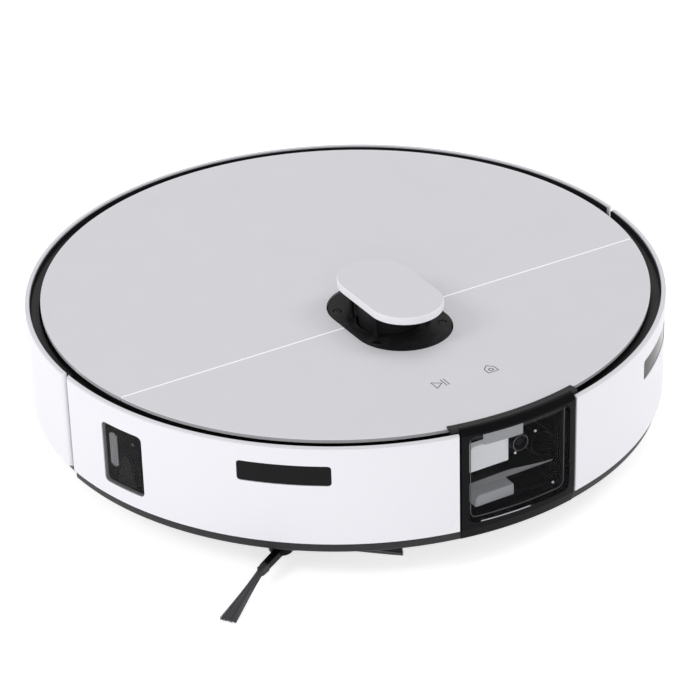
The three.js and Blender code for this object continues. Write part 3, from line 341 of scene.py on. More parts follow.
def along_x(bm, place):
    """Turns a mesh made about Z to lie along X, at a place."""
    return moved(bm, Matrix.Translation(place) @ Matrix.Rotation(math.pi / 2, 4, "Y"))


def along_y(bm, place):
    """Turns a mesh made about Z so that its top faces the robot's front, at a place."""
    return moved(bm, Matrix.Translation(place) @ Matrix.Rotation(math.pi / 2, 4, "X"))


def facing(outline, bearing, r0, r1):
    """An upright outline of (sideways, height), raised outwards along a bearing."""
    turn = math.radians(bearing)
    side = Vector((math.cos(turn), math.sin(turn), 0))
    out = Vector((math.sin(turn), -math.cos(turn), 0))
    up = Vector((0, 0, 1))
    return skin([[side * x + up * z + out * r for x, z in outline] for r in (r0, r1)])


def joined(meshes):
    """Several meshes in one, left as they are."""
    out = bmesh.new()
    for bm in meshes:
        mesh = bpy.data.meshes.new("joining")
        bm.to_mesh(mesh)
        bm.free()
        out.from_mesh(mesh)
        bpy.data.meshes.remove(mesh)
    return out


def helper(bm):
    """A short-lived object that holds a mesh."""
    mesh = bpy.data.meshes.new("helper")
    bm.to_mesh(mesh)
    bm.free()
    obj = bpy.data.objects.new("helper", mesh)
    bpy.context.scene.collection.objects.link(obj)
    return obj


def result(obj, tools=()):
    """The mesh of a short-lived object after its modifiers; the object and its tools are removed."""
    graph = bpy.context.evaluated_depsgraph_get()
    mesh = bpy.data.meshes.new_from_object(obj.evaluated_get(graph))
    out = bmesh.new()
    out.from_mesh(mesh)
    bpy.data.meshes.remove(mesh)
    for each in (obj, *tools):
        old = each.data
        bpy.data.objects.remove(each)
        bpy.data.meshes.remove(old)
    return out


def boolean(bm, others, operation="DIFFERENCE"):
    """Joins, cuts or keeps what a mesh shares with others."""
    base = helper(bm)
    tools = [helper(other) for other in others]
    for tool in tools:
        step = base.modifiers.new("step", "BOOLEAN")
        step.operation = operation
        step.solver = "EXACT"
        step.object = tool
    return result(base, tools)


def softened(bm, width, segments=3, angle=40.0, edge_slot=None):
    """Rounds every edge that is sharper than an angle; the rounding may take a second material."""
    base = helper(bm)
    step = base.modifiers.new("edge", "BEVEL")
    step.width = width
    step.segments = segments
    step.limit_method = "ANGLE"
    step.angle_limit = math.radians(angle)
    step.use_clamp_overlap = True
    if edge_slot is not None:
        for _ in range(edge_slot + 1):
            base.data.materials.append(None)
        step.material = edge_slot
    return result(base)


def tube(points, radius, sides=6, taper=None):
    """A round tube along points, with an optional list of radius factors."""
    rings = []
    for i, point in enumerate(points):
        ahead = points[min(i + 1, len(points) - 1)] - points[max(i - 1, 0)]
        turn = ahead.to_track_quat("Z", "Y").to_matrix()
        here = radius * (taper[i] if taper else 1.0)
        rings.append([
            point + turn @ Vector((here * math.cos(a), here * math.sin(a), 0))
            for a in (2 * math.pi * k / sides for k in range(sides))
        ])
    return skin(rings)


# ---- Pieces ------------------------------------------------------------------------------------


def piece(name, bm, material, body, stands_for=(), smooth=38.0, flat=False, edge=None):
    """Makes a finished piece that rides on a body and may stand for some of the frame's nodes."""
    mesh = bpy.data.meshes.new(name)
    bm.to_mesh(mesh)
    bm.free()
    obj = bpy.data.objects.new(name, mesh)
    bpy.context.scene.collection.objects.link(obj)
    obj.data.materials.append(material)
    if edge:
        obj.data.materials.append(edge)
    if not flat:
        mesh.shade_smooth()
        mesh.set_sharp_from_angle(angle=math.radians(smooth))
        weighted = obj.modifiers.new("normals", "WEIGHTED_NORMAL")
        weighted.keep_sharp = True
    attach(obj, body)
    if stands_for:
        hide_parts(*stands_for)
    return obj


def dressed(node, material):
    """Gives one of the frame's own nodes a finish."""
    obj = frame["nodes"][node]
    obj.data.materials.clear()
    obj.data.materials.append(material)


# ---- Shared effects ----------------------------------------------------------------------------


def group_tree(name, inputs, outputs):
    """A new shader group with float inputs (name, default) and outputs, and its two end nodes."""
    tree = bpy.data.node_groups.new(name, "ShaderNodeTree")
    for label, default in inputs:
        socket = tree.interface.new_socket(label, in_out="INPUT", socket_type="NodeSocketFloat")
        socket.default_value = default
    for label in outputs:
        tree.interface.new_socket(label, in_out="OUTPUT", socket_type="NodeSocketFloat")
    return tree, tree.nodes.new("NodeGroupInput"), tree.nodes.new("NodeGroupOutput")


def moulded_grain():
    """Fine spark-eroded grain and the slow mottle of moulded plastic."""
    name = "Moulded Grain"
    if name in bpy.data.node_groups:
        return bpy.data.node_groups[name]
    tree, source, sink = group_tree(name, [("Grain Scale", 1800.0), ("Mottle Scale", 60.0)],
                                    ["Height", "Mottle"])
    place = tree.nodes.new("ShaderNodeTexCoord")
    grain = tree.nodes.new("ShaderNodeTexNoise")
    grain.inputs["Detail"].default_value = 3.0
    mottle = tree.nodes.new("ShaderNodeTexNoise")
    mottle.inputs["Detail"].default_value = 4.0
    tree.links.new(place.outputs["Object"], grain.inputs["Vector"])
    tree.links.new(place.outputs["Object"], mottle.inputs["Vector"])
    tree.links.new(source.outputs["Grain Scale"], grain.inputs["Scale"])
    tree.links.new(source.outputs["Mottle Scale"], mottle.inputs["Scale"])
    tree.links.new(grain.outputs["Fac"], sink.inputs["Height"])
    tree.links.new(mottle.outputs["Fac"], sink.inputs["Mottle"])
    return tree


def edge_wear():
    """A mask of the light rubbing that corners pick up, broken up by noise."""
    name = "Edge Wear"
    if name in bpy.data.node_groups:
        return bpy.data.node_groups[name]
    tree, source, sink = group_tree(name, [("Amount", 0.5), ("Scale", 220.0)], ["Mask"])
    shape = tree.nodes.new("ShaderNodeNewGeometry")
    corner = tree.nodes.new("ShaderNodeMapRange")
    corner.inputs["From Min"].default_value = 0.52
    corner.inputs["From Max"].default_value = 0.62
    place = tree.nodes.new("ShaderNodeTexCoord")
    breakup = tree.nodes.new("ShaderNodeTexNoise")
    breakup.inputs["Detail"].default_value = 5.0
    spread = tree.nodes.new("ShaderNodeMapRange")
    spread.inputs["From Min"].default_value = 0.35
    spread.inputs["From Max"].default_value = 0.7
    both = tree.nodes.new("ShaderNodeMath")
    both.operation = "MULTIPLY"
    strength = tree.nodes.new("ShaderNodeMath")
    strength.operation = "MULTIPLY"
    tree.links.new(shape.outputs["Pointiness"], corner.inputs["Value"])
    tree.links.new(place.outputs["Object"], breakup.inputs["Vector"])
    tree.links.new(source.outputs["Scale"], breakup.inputs["Scale"])
    tree.links.new(breakup.outputs["Fac"], spread.inputs["Value"])
    tree.links.new(corner.outputs["Result"], both.inputs[0])
    tree.links.new(spread.outputs["Result"], both.inputs[1])
    tree.links.new(both.outputs["Value"], strength.inputs[0])
    tree.links.new(source.outputs["Amount"], strength.inputs[1])
    tree.links.new(strength.outputs["Value"], sink.inputs["Mask"])
    return tree


def settled_dust():
    """A mask of thin dust on faces that look up."""
    name = "Settled Dust"
    if name in bpy.data.node_groups:
        return bpy.data.node_groups[name]
    tree, source, sink = group_tree(name, [("Amount", 0.2), ("Scale", 90.0)], ["Mask"])
    shape = tree.nodes.new("ShaderNodeNewGeometry")
    parts = tree.nodes.new("ShaderNodeSeparateXYZ")
    upward = tree.nodes.new("ShaderNodeMapRange")
    upward.inputs["From Min"].default_value = 0.6
    upward.inputs["From Max"].default_value = 1.0
    place = tree.nodes.new("ShaderNodeTexCoord")
    patches = tree.nodes.new("ShaderNodeTexNoise")
    patches.inputs["Detail"].default_value = 6.0
    both = tree.nodes.new("ShaderNodeMath")
    both.operation = "MULTIPLY"
    strength = tree.nodes.new("ShaderNodeMath")
    strength.operation = "MULTIPLY"
    tree.links.new(shape.outputs["Normal"], parts.inputs["Vector"])
    tree.links.new(parts.outputs["Z"], upward.inputs["Value"])
    tree.links.new(place.outputs["Object"], patches.inputs["Vector"])
    tree.links.new(source.outputs["Scale"], patches.inputs["Scale"])
    tree.links.new(upward.outputs["Result"], both.inputs[0])
    tree.links.new(patches.outputs["Fac"], both.inputs[1])
    tree.links.new(both.outputs["Value"], strength.inputs[0])
    tree.links.new(source.outputs["Amount"], strength.inputs[1])
    tree.links.new(strength.outputs["Value"], sink.inputs["Mask"])
    return tree


# ---- Finishes ----------------------------------------------------------------------------------


def placed_group(tree, group, **values):
    """Places a shared effect in a material with its own values."""
    node = tree.nodes.new("ShaderNodeGroup")
    node.node_tree = group
    for label, value in values.items():
        node.inputs[label.replace("_", " ")].default_value = value
    return node


def mixed(tree, mask, first, second):
    """A colour that goes from first to second as a mask rises; each is a colour or a socket."""
    mix = tree.nodes.new("ShaderNodeMix")
    mix.data_type = "RGBA"
    tree.links.new(mask, mix.inputs["Factor"])
    for socket, value in ((mix.inputs["A"], first), (mix.inputs["B"], second)):
        if hasattr(value, "links"):
            tree.links.new(value, socket)
        else:
            socket.default_value = (*value, 1.0)
    return mix.outputs["Result"]


def ranged(tree, value, low, high, bottom=0.0, top=1.0):
    """A value mapped to a range."""
    node = tree.nodes.new("ShaderNodeMapRange")
    node.inputs["From Min"].default_value = bottom
    node.inputs["From Max"].default_value = top
    node.inputs["To Min"].default_value = low
    node.inputs["To Max"].default_value = high
    tree.links.new(value, node.inputs["Value"])
    return node.outputs["Result"]


def shade(base, factor):
    """A colour made lighter or darker."""
    return tuple(min(1.0, c * factor) for c in base)


def moulding(name, base, rough, grain=1800.0, depth=0.05, mottle=0.03, wear=0.06, dust=0.0, **fixed):
    """A moulded finish: grain in the normal, mottle in colour and roughness, rubbed corners, dust."""
    if name in bpy.data.materials:
        return bpy.data.materials[name]
    material = bpy.data.materials.new(name)
    material.use_nodes = True
    tree = material.node_tree
    shader = tree.nodes["Principled BSDF"]
    surface = placed_group(tree, moulded_grain(), Grain_Scale=grain, Mottle_Scale=55.0)
    tint = mixed(tree, surface.outputs["Mottle"], shade(base, 1 - mottle), shade(base, 1 + mottle))
    if wear > 0:
        rubbed = placed_group(tree, edge_wear(), Amount=wear, Scale=240.0)
        lighter = tuple(c + (0.75 - c) * 0.35 for c in base) if max(base) < 0.5 else shade(base, 1.12)
        tint = mixed(tree, rubbed.outputs["Mask"], tint, lighter)
    if dust > 0:
        film = placed_group(tree, settled_dust(), Amount=dust, Scale=70.0)
        tint = mixed(tree, film.outputs["Mask"], tint, (0.42, 0.41, 0.39))
    tree.links.new(tint, shader.inputs["Base Color"])
    tree.links.new(
        ranged(tree, surface.outputs["Mottle"], rough * 0.88, rough * 1.14, 0.3, 0.7),
        shader.inputs["Roughness"],
    )
    bump = tree.nodes.new("ShaderNodeBump")
    bump.inputs["Strength"].default_value = depth
    bump.inputs["Distance"].default_value = 0.0002
    tree.links.new(surface.outputs["Height"], bump.inputs["Height"])
    tree.links.new(bump.outputs["Normal"], shader.inputs["Normal"])
    for label, value in fixed.items():
        shader.inputs[label.replace("_", " ")].default_value = value
    return material


def brushed_metal(name, base, rough):
    """Drawn or plated metal with a fine grain."""
    if name in bpy.data.materials:
        return bpy.data.materials[name]
    material = moulding(name, base, rough, grain=2600.0, depth=0.08, mottle=0.06, wear=0.05, Metallic=1.0)
    return material


def shell_white():
    """The satin white of the side and the cap."""
    return moulding("Side White", colours().shell, 0.4, grain=900.0, depth=0.01, mottle=0.004,
                    wear=0.0, Specular_IOR_Level=0.35)


def cap_white():
    """The matte white of the cap's top, in the deck's slightly darker white: painted shade on the top next
    to the glowing sides.
    """
    return moulding("Cap White", colours().deck, 0.45, grain=900.0, depth=0.01, mottle=0.004, wear=0.0)


def deck_grey():
    """The even cool grey of the deck and the lid."""
    return moulding("Deck Grey", colours().deck, 0.42, grain=2400.0, depth=0.05, mottle=0.008, wear=0.0)


def painted_highlight_edge():
    """A brighter white that glows: the painted highlight on the deck's bevelled edges and in its seam."""
    return moulding("Bright Edge", (0.86, 0.86, 0.88), 0.3, grain=900.0, depth=0.01, mottle=0.005, wear=0.0,
                    Emission_Color=(1.0, 1.0, 1.0, 1.0), Emission_Strength=0.3)


def textured_black():
    """The fine black of the bumper, the groove and the turret's plate."""
    return moulding("Textured Black", colours().black, 0.45, grain=2200.0, depth=0.12, wear=0.03,
                    Specular_IOR_Level=0.3)


def satin_black():
    """The smoother black of the front module."""
    return moulding("Satin Black", colours().gloss, 0.3, grain=1500.0, depth=0.02, wear=0.0,
                    Specular_IOR_Level=0.06)


def plate_black():
    """The even black of the turret's plate and posts."""
    return moulding("Plate Black", (0.013, 0.013, 0.015), 0.5, grain=2200.0, depth=0.08, wear=0.05,
                    Specular_IOR_Level=0.18)


def charcoal():
    """The charcoal of the underside."""
    return moulding("Charcoal", colours().charcoal, 0.5, grain=1500.0, depth=0.18, wear=0.04, dust=0.06)


def gloss_black():
    """The polished infrared windows."""
    return moulding("Gloss Black", colours().gloss, 0.06, grain=300.0, depth=0.004, wear=0.0,
                    Specular_IOR_Level=0.1)


def smoked_clear():
    """Smoked see-through plastic."""
    return moulding("Smoked Clear", (0.012, 0.012, 0.013), 0.05, grain=300.0, depth=0.003, wear=0.05,
                    Alpha=0.34, Specular_IOR_Level=0.2)


def window_clear():
    """The dark clear pane over the front optics."""
    return moulding("Window Clear", (0.008, 0.008, 0.009), 0.05, grain=300.0, depth=0.002, wear=0.0,
                    Alpha=0.16, Specular_IOR_Level=0.12)


def grey_moulding():
    """Plain mid grey mouldings."""
    return moulding("Grey Moulding", colours().grey, 0.45, depth=0.08)


def pale_painted_glow():
    """A milky pale face with a faint painted glow: the wall sensor's lens stripes and the fan's impeller.
    """
    return moulding("Pale Diffuser", colours().pale, 0.35, grain=700.0, depth=0.03, mottle=0.1, wear=0.1,
                    Emission_Color=(0.8, 0.82, 0.85, 1.0), Emission_Strength=0.1)


def bright_painted_glow():
    """A pale face with a strong painted glow: the fill light's face seen through the dark pane, and the
    tips of the light pipes.
    """
    return moulding("Lit Diffuser", colours().pale, 0.35, grain=700.0, depth=0.03, mottle=0.1, wear=0.0,
                    Emission_Color=(0.8, 0.82, 0.85, 1.0), Emission_Strength=0.4)


def dim_painted_glow():
    """Grey faces with a painted glow: the line laser's face and the strips at the front window's lower and
    upper edges.
    """
    return moulding("Dim Diffuser", (0.3, 0.305, 0.32), 0.35, grain=700.0, depth=0.03,
                    mottle=0.14, wear=0.0,
                    Emission_Color=(0.5, 0.51, 0.54, 1.0), Emission_Strength=0.3)


def soft_rubber():
    """Tyres and roller fins."""
    return moulding("Soft Rubber", colours().rubber, 0.68, grain=2600.0, depth=0.25, wear=0.08, dust=0.08)


def nylon():
    """Bristles."""
    return moulding("Nylon Bristle", colours().bristle, 0.4, grain=3200.0, depth=0.05,
                    mottle=0.35, wear=0.0)


def printed_grey():
    """The ink of the icons."""
    return moulding("Printed Grey", colours().print_grey, 0.5, depth=0.02, wear=0.0)


def plated_steel():
    """Screws, springs and motor cans."""
    return brushed_metal("Plated Steel", (0.42, 0.42, 0.44), 0.32)


# ---- White sides -------------------------------------------------------------------------------

PANEL_START = 11.7
BUMPER_END = 86.9
REAR_START = 87.9
IR_BEARING = (33.1 + 49.0) / 2
IR_HALF = 24.0 * MM
IR_Z = (56.3 * MM, 67.3 * MM)
SENSOR_BEARING = -(67.3 + 76.5) / 2
SENSOR_HALF = 14.0 * MM
SENSOR_Z = (30.0 * MM, 65.5 * MM)


def side_in():
    """Inner radius of the white side."""
    return BODY_R - sizes().side_wall


def side_profile():
    """The white side's cross-section."""
    inner = side_in()
    corners = [(inner, SIDE_BOTTOM), (BODY_R, SIDE_BOTTOM), (BODY_R, BODY_TOP), (inner, BODY_TOP)]
    return filleted(corners, [0.2 * MM, 0.5 * MM, sizes().top_round, 0.5 * MM], 5)


def window_cut(bearing, half, z, radius, margin=0.0):
    """The solid that a sensor window is cut with."""
    outline = rectangle(-half - margin, half + margin, z[0] - margin, z[1] + margin, radius + margin, 6)
    return facing(outline, bearing, side_in() - 12 * MM, BODY_R + 6 * MM)


def bumper_panel(side):
    """One white half of the bumper; side is 1 on the robot's left."""
    end = sizes().end_round
    if side > 0:
        panel = sweep(side_profile(), PANEL_START, BUMPER_END, 0.5 * MM, end)
    else:
        panel = sweep(side_profile(), -BUMPER_END, -PANEL_START, end, 0.5 * MM)
    cuts = [window_cut(side * IR_BEARING, IR_HALF, IR_Z, 1.6 * MM, sizes().window_play)]
    if side < 0:
        cuts.append(window_cut(SENSOR_BEARING, SENSOR_HALF, SENSOR_Z, 2.6 * MM, sizes().window_play))
    panel = softened(boolean(panel, cuts), 0.22 * MM, 2, 55)
    name = "bumper_panel_left" if side > 0 else "bumper_panel_right"
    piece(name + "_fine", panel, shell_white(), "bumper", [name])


def rear_side():
    """The white rear side with its exhaust slots."""
    end = sizes().end_round
    shell = sweep(side_profile(), REAR_START, 360 - REAR_START, end, end)
    slots = []
    for i in range(9):
        bearing = 128.55 + 2.4 * i
        outline = rectangle(-1.65 * MM, 1.65 * MM, 32 * MM, 52 * MM, 1.6 * MM, 5)
        slots.append(facing(outline, bearing, side_in() - 3 * MM, BODY_R + 3 * MM))
    shell = softened(boolean(shell, slots), 0.3 * MM, 2, 55)
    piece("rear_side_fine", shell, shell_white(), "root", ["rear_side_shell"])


# ---- Deck and lid ------------------------------------------------------------------------------

SEAM_Y = -44.5 * MM
PLATE_LINE = 0.55 * MM


def half_deck(front):
    """The deck in front of the seam, or the lid behind it."""
    radius = side_in() - sizes().groove
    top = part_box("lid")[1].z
    disc = turned([(0, top - 2 * MM), (radius, top - 2 * MM), (radius, top), (0, top)], sides=360)
    gap = sizes().seam / 2
    wide = 2 * BODY_R
    away = (SEAM_Y - gap, wide) if front else (-wide, SEAM_Y + gap)
    notch = plate(stadium(PLATE_R + PLATE_LINE, PLATE_HALF, TURRET_Y, 48), top - 9 * MM, top + 9 * MM)
    half = boolean(disc, [block((-wide, wide), away, (top - 9 * MM, top + 9 * MM)), notch])
    # The bevel takes the second slot, which gets the glowing painted-highlight white.
    return softened(half, sizes().deck_edge, 3, 60, edge_slot=1)


def seam_highlight_strip():
    """A glowing strip that fills the seam under the lid's front edge: a painted highlight line along the
    seam, where the gap would be in shade.
    """
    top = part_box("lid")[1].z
    gap = sizes().seam / 2 - 0.02 * MM
    radius = side_in() - sizes().groove - 0.6 * MM
    strip = block((-radius, radius), (SEAM_Y - gap, SEAM_Y + gap), (top - 1.2 * MM, top - 0.06 * MM))
    round_off = plate(circle(radius, sides=240), top - 5 * MM, top + MM)
    notch = plate(stadium(PLATE_R + PLATE_LINE, PLATE_HALF, TURRET_Y, 48), top - 9 * MM, top + 9 * MM)
    return boolean(boolean(strip, [round_off], "INTERSECT"), [notch])


def stroke(points, width, height, closed_line=False):
    """A flat line of a width through points, raised to a height above the deck."""
    base = BODY_TOP + 0.004 * MM
    parts = []
    ends = list(zip(points, points[1:] + points[:1])) if closed_line else list(zip(points, points[1:]))
    for (x0, y0), (x1, y1) in ends:
        along = Vector((x1 - x0, y1 - y0))
        turn = math.atan2(along.y, along.x)
        bar = plate(stadium(width / 2, along.length / 2, 0.0, 6), 0, height)
        spin = Matrix.Rotation(turn - math.pi / 2, 4, "Z")
        parts.append(moved(bar, Matrix.Translation(((x0 + x1) / 2, (y0 + y1) / 2, base)) @ spin))
    return parts


def play_icon(x, y, size):
    """The outlined triangle and two bars of the start and pause key."""
    line = sizes().icon_line
    third = size / 2
    triangle = [(x - size * 0.62, y - third), (x + size * 0.12, y), (x - size * 0.62, y + third)]
    parts = stroke(triangle, line, 0.03 * MM, True)
    for at in (0.28, 0.55):
        parts += stroke([(x + size * at, y - third), (x + size * at, y + third)], line, 0.03 * MM)
    return joined(parts)


def home_icon(x, y, size):
    """The outlined house and spot of the return key."""
    line = sizes().icon_line
    half = size / 2
    wall = size * 0.42
    house = [(x - wall, y - half), (x + wall, y - half), (x + wall, y + half * 0.15), (x, y + half),
             (x - wall, y + half * 0.15)]
    parts = stroke(house, line, 0.03 * MM, True)
    spot_ring = [(x + size * 0.17 * math.cos(a), y - half * 0.3 + size * 0.17 * math.sin(a))
                 for a in (2 * math.pi * k / 12 for k in range(12))]
    parts += stroke(spot_ring, line, 0.03 * MM, True)
    return joined(parts)


def lid_hinge():
    """The lid's two hinge tabs with their pins, and the ribs under it."""
    y, z = HINGE[1], HINGE[2]
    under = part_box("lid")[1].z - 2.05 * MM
    parts = []
    for side in (-1, 1):
        outline = [(y - 2.9 * MM, under), (y + 2.9 * MM, under)]
        outline += [(y + dx, z + dz) for dx, dz in arc((0, 0), 2.9 * MM, 0, -180, 12)]
        tab = skin([[Vector((x, a, b)) for a, b in outline]
                    for x in (side * 34 * MM, side * 38.4 * MM)])
        parts.append(softened(tab, 0.3 * MM, 2, 50))
        pin = turned([(0, 0), (1.0 * MM, 0), (1.2 * MM, 0.3 * MM), (1.2 * MM, 4.3 * MM), (0, 4.3 * MM)],
                     sides=20)
        start = 42.6 * MM if side > 0 else -38.3 * MM
        parts.append(along_x(moved(pin, Matrix.Rotation(math.pi, 4, "X")),
                             (start - 4.3 * MM * (side > 0), y, z)))
    rib = sweep(rectangle(150.4 * MM, 152.6 * MM, under - 2.6 * MM, under), 100, 260)
    parts.append(softened(rib, 0.3 * MM, 2, 50))
    for x in (-90 * MM, -45 * MM, 45 * MM, 90 * MM):
        rib = block((x - 0.8 * MM, x + 0.8 * MM), (0, 105 * MM), (under - 1.6 * MM, under))
        parts.append(softened(rib, 0.3 * MM, 2, 50))
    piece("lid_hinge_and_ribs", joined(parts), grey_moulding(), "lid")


def deck_pieces():
    """The deck, the lid, the lid's hinge and the printed icons."""
    # Painted highlight: the deck's and lid's bevels and the seam strip take this glowing white.
    edge = painted_highlight_edge()
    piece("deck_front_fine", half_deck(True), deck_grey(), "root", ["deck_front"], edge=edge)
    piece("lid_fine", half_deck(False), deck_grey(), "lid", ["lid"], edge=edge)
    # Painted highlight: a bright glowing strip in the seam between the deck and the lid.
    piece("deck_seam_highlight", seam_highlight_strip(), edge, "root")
    lid_hinge()
    piece("icon_play_pause", play_icon(-15.6 * MM, -122.3 * MM, 6.4 * MM), printed_grey(),
          "root", flat=True)
    piece("icon_home", home_icon(13.9 * MM, -123.3 * MM, 7.2 * MM), printed_grey(), "root", flat=True)


# ---- Bumper's black parts ----------------------------------------------------------------------

BAND_TOP = BODY_TOP - 0.9 * MM
BAND_R = BODY_R - 3.15 * MM

MODULE_END = 11.4
VISOR_END = 12.9
WINDOW_HALF = 30.2 * MM
WINDOW_Z = (25.0 * MM, 75.5 * MM)


def bumper_skin():
    """The black skin behind the white panels, with its lip below and its flange above."""
    outer = side_in() - 0.3 * MM
    inner = outer - 1.5 * MM
    lip = BODY_R - 1.9 * MM
    lip_top = SIDE_BOTTOM - 0.3 * MM
    flange = side_in() - sizes().groove - 0.4 * MM
    top = BODY_TOP - 5 * MM
    profile = filleted([
        (inner, LIP_BOTTOM), (lip, LIP_BOTTOM), (lip, lip_top), (outer, lip_top), (outer, BAND_TOP),
        (BAND_R, BAND_TOP), (BAND_R, top), (flange, top), (flange, top - 1.5 * MM), (inner, top - 1.5 * MM),
    ], [
        0.4 * MM, 1.2 * MM, 0.5 * MM, 0.2 * MM, 0.3 * MM, 0.3 * MM, 0.3 * MM, 0.4 * MM, 0.3 * MM, 0.3 * MM,
    ], 3)
    body = sweep(profile, -BUMPER_END, BUMPER_END, 0.6 * MM, 0.6 * MM)
    opening = facing(rectangle(-31 * MM, 31 * MM, 23.5 * MM, 69.5 * MM, 2 * MM), 0, 150 * MM, 190 * MM)
    module = sweep(rectangle(inner - 1 * MM, 190 * MM, LIP_BOTTOM - 1 * MM, 90 * MM),
                   -MODULE_END, MODULE_END)
    body = boolean(body, [opening, module])
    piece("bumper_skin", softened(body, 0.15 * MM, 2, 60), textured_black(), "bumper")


def front_module():
    """The black module in the middle of the bumper, with its window opening, and the visor above it."""
    inner = side_in() - 1.8 * MM
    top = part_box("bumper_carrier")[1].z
    profile = filleted([
        (inner, LIP_BOTTOM), (BODY_R - 1.9 * MM, LIP_BOTTOM), (BODY_R - 0.4 * MM, SIDE_BOTTOM),
        (BODY_R, 30 * MM), (BODY_R, BODY_TOP - 1.0 * MM), (BODY_R - 2.6 * MM, top), (inner, top),
    ], [0.3 * MM, 1.2 * MM, 2 * MM, 2 * MM, 1.2 * MM, 0.8 * MM, 0.2 * MM], 4)
    module = sweep(profile, -MODULE_END, MODULE_END, 0.4 * MM, 0.4 * MM)
    module = boolean(module, [window_cut(0, WINDOW_HALF, WINDOW_Z, 3.4 * MM, 0.35 * MM)])
    module = softened(module, 0.3 * MM, 3, 50)
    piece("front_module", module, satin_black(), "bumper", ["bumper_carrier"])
    lap = side_in() - sizes().groove - 1 * MM
    outer = side_in() - 0.4 * MM
    under = BODY_TOP + 0.25 * MM
    flap = filleted([
        (lap, under), (outer - 1.6 * MM, under), (outer - 1.6 * MM, BODY_TOP - 6 * MM),
        (outer, BODY_TOP - 6 * MM),
        (outer, top - 0.6 * MM), (outer - 1.4 * MM, top), (lap + 1.2 * MM, top - 0.1 * MM),
        (lap, top - 1.0 * MM),
    ], [0.2 * MM, 0.3 * MM, 0.1 * MM, 0.1 * MM, 0.4 * MM, 0.6 * MM, 0.9 * MM, 0.4 * MM], 4)
    visor = sweep(flap, -VISOR_END, VISOR_END, 0.9 * MM, 0.9 * MM)
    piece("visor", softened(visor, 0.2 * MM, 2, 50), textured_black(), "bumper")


# ---- Sensor windows ----------------------------------------------------------------------------


def window_pane(bearing, half, z, radius, depth, proud):
    """A curved pane that fills a window, with softened edges."""
    outer = BODY_R - proud
    blank = sweep(rectangle(outer - depth, outer, z[0] - 4 * MM, z[1] + 4 * MM), bearing - 13, bearing + 13)
    pane = boolean(blank, [window_cut(bearing, half, z, radius)], "INTERSECT")
    return softened(pane, 0.3 * MM, 3, 55)


def sensor_windows():
    """The infrared slots and the wall sensor's window with what shows behind it."""
    for side, name in ((1, "ir_window_left"), (-1, "ir_window_right")):
        pane = window_pane(side * IR_BEARING, IR_HALF, IR_Z, 1.6 * MM, 2.2 * MM, 0.25 * MM)
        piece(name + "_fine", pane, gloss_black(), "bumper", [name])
    pane = window_pane(SENSOR_BEARING, SENSOR_HALF, SENSOR_Z, 2.6 * MM, 0.8 * MM, 0.25 * MM)
    glass = moulding("Sensor Glass", (0.004, 0.004, 0.005), 0.06, grain=300.0, depth=0.002, wear=0.0,
                     Alpha=0.3, Specular_IOR_Level=0.12)
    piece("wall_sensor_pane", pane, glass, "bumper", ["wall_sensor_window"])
    back = facing(rectangle(-13.6 * MM, 13.6 * MM, 30.3 * MM, 65.2 * MM, 2.4 * MM), SENSOR_BEARING,
                  side_in() - 1.2 * MM, side_in() - 0.1 * MM)
    dark = moulding("Sensor Back", (0.004, 0.004, 0.004), 0.3, grain=700.0, depth=0.01, wear=0.0,
                    Specular_IOR_Level=0.1)
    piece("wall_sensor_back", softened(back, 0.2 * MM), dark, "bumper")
    stripes = []
    for k in range(4):
        x = (-10.3 + 1.4 * k) * MM
        ends = 0.9 * MM if k in (0, 3) else 0.0
        stripe = facing(rectangle(x, x + 0.9 * MM, 40 * MM + ends, 60 * MM - ends, 0.4 * MM, 4),
                        SENSOR_BEARING,
                        side_in(), side_in() + 0.8 * MM)
        stripes.append(softened(stripe, 0.2 * MM, 2))
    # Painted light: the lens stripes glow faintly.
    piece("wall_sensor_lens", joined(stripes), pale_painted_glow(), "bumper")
    dot = facing(circle(0.9 * MM, 6.5 * MM, 58 * MM, 20), SENSOR_BEARING, side_in(), side_in() + 0.8 * MM)
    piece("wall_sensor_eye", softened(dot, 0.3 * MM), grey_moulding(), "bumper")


# ---- Front optics ------------------------------------------------------------------------------

FILL_LIGHT = ((-26.5 * MM, -3.0 * MM), (50.5 * MM, 65.4 * MM))
LASER_BLOCK = ((-23.0 * MM, 0.4 * MM), (28.8 * MM, 35.4 * MM))
LIGHT_FRONT = 2.5 * MM
CAMERA = (2.5 * MM, 60.2 * MM)
CAMERA_R = 5.0 * MM
CAMERA_FRONT = 5.0 * MM
LENS_R = 3.1 * MM


def front_optics():
    """The front window and the camera, lights and shelf behind it."""
    pane = window_pane(0, WINDOW_HALF - 0.2 * MM, WINDOW_Z, 3.2 * MM, 1.2 * MM, 0.15 * MM)
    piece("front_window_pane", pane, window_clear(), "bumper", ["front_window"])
    outline = rectangle(-28.6 * MM, 28.6 * MM, 26.4 * MM, 80 * MM, 3.6 * MM, 8)
    inner = rectangle(-28.25 * MM, 28.25 * MM, 26.75 * MM, 81 * MM, 3.25 * MM, 8)
    line = boolean(facing(outline, 0, 150 * MM, 172.5 * MM), [facing(inner, 0, 140 * MM, 190 * MM)])
    band = sweep(rectangle(172.2 * MM, 172.5 * MM, 20 * MM, 73 * MM), -12, 12)
    line = boolean(line, [band], "INTERSECT")
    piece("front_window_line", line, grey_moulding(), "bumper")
    # Painted highlight: a thin glowing strip along the window's lower edge, where the frame's bevel catches
    # the light.
    sill = sweep(
        rectangle(BODY_R - 0.6 * MM, BODY_R - 0.08 * MM, 24.5 * MM, 25.0 * MM, 0.15 * MM, 2), -7.9, 1.6)
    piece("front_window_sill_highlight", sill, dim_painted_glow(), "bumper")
    # Painted light: a glowing grey strip along the window's upper edge.
    upper = sweep(rectangle(172.6 * MM, 173.3 * MM, 68.4 * MM, 74.8 * MM, 0.2 * MM), -7.2, 0.4,
                  1.6 * MM, 0.4 * MM)
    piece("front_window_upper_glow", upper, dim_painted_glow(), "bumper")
    housing()
    lights()
    camera_unit()


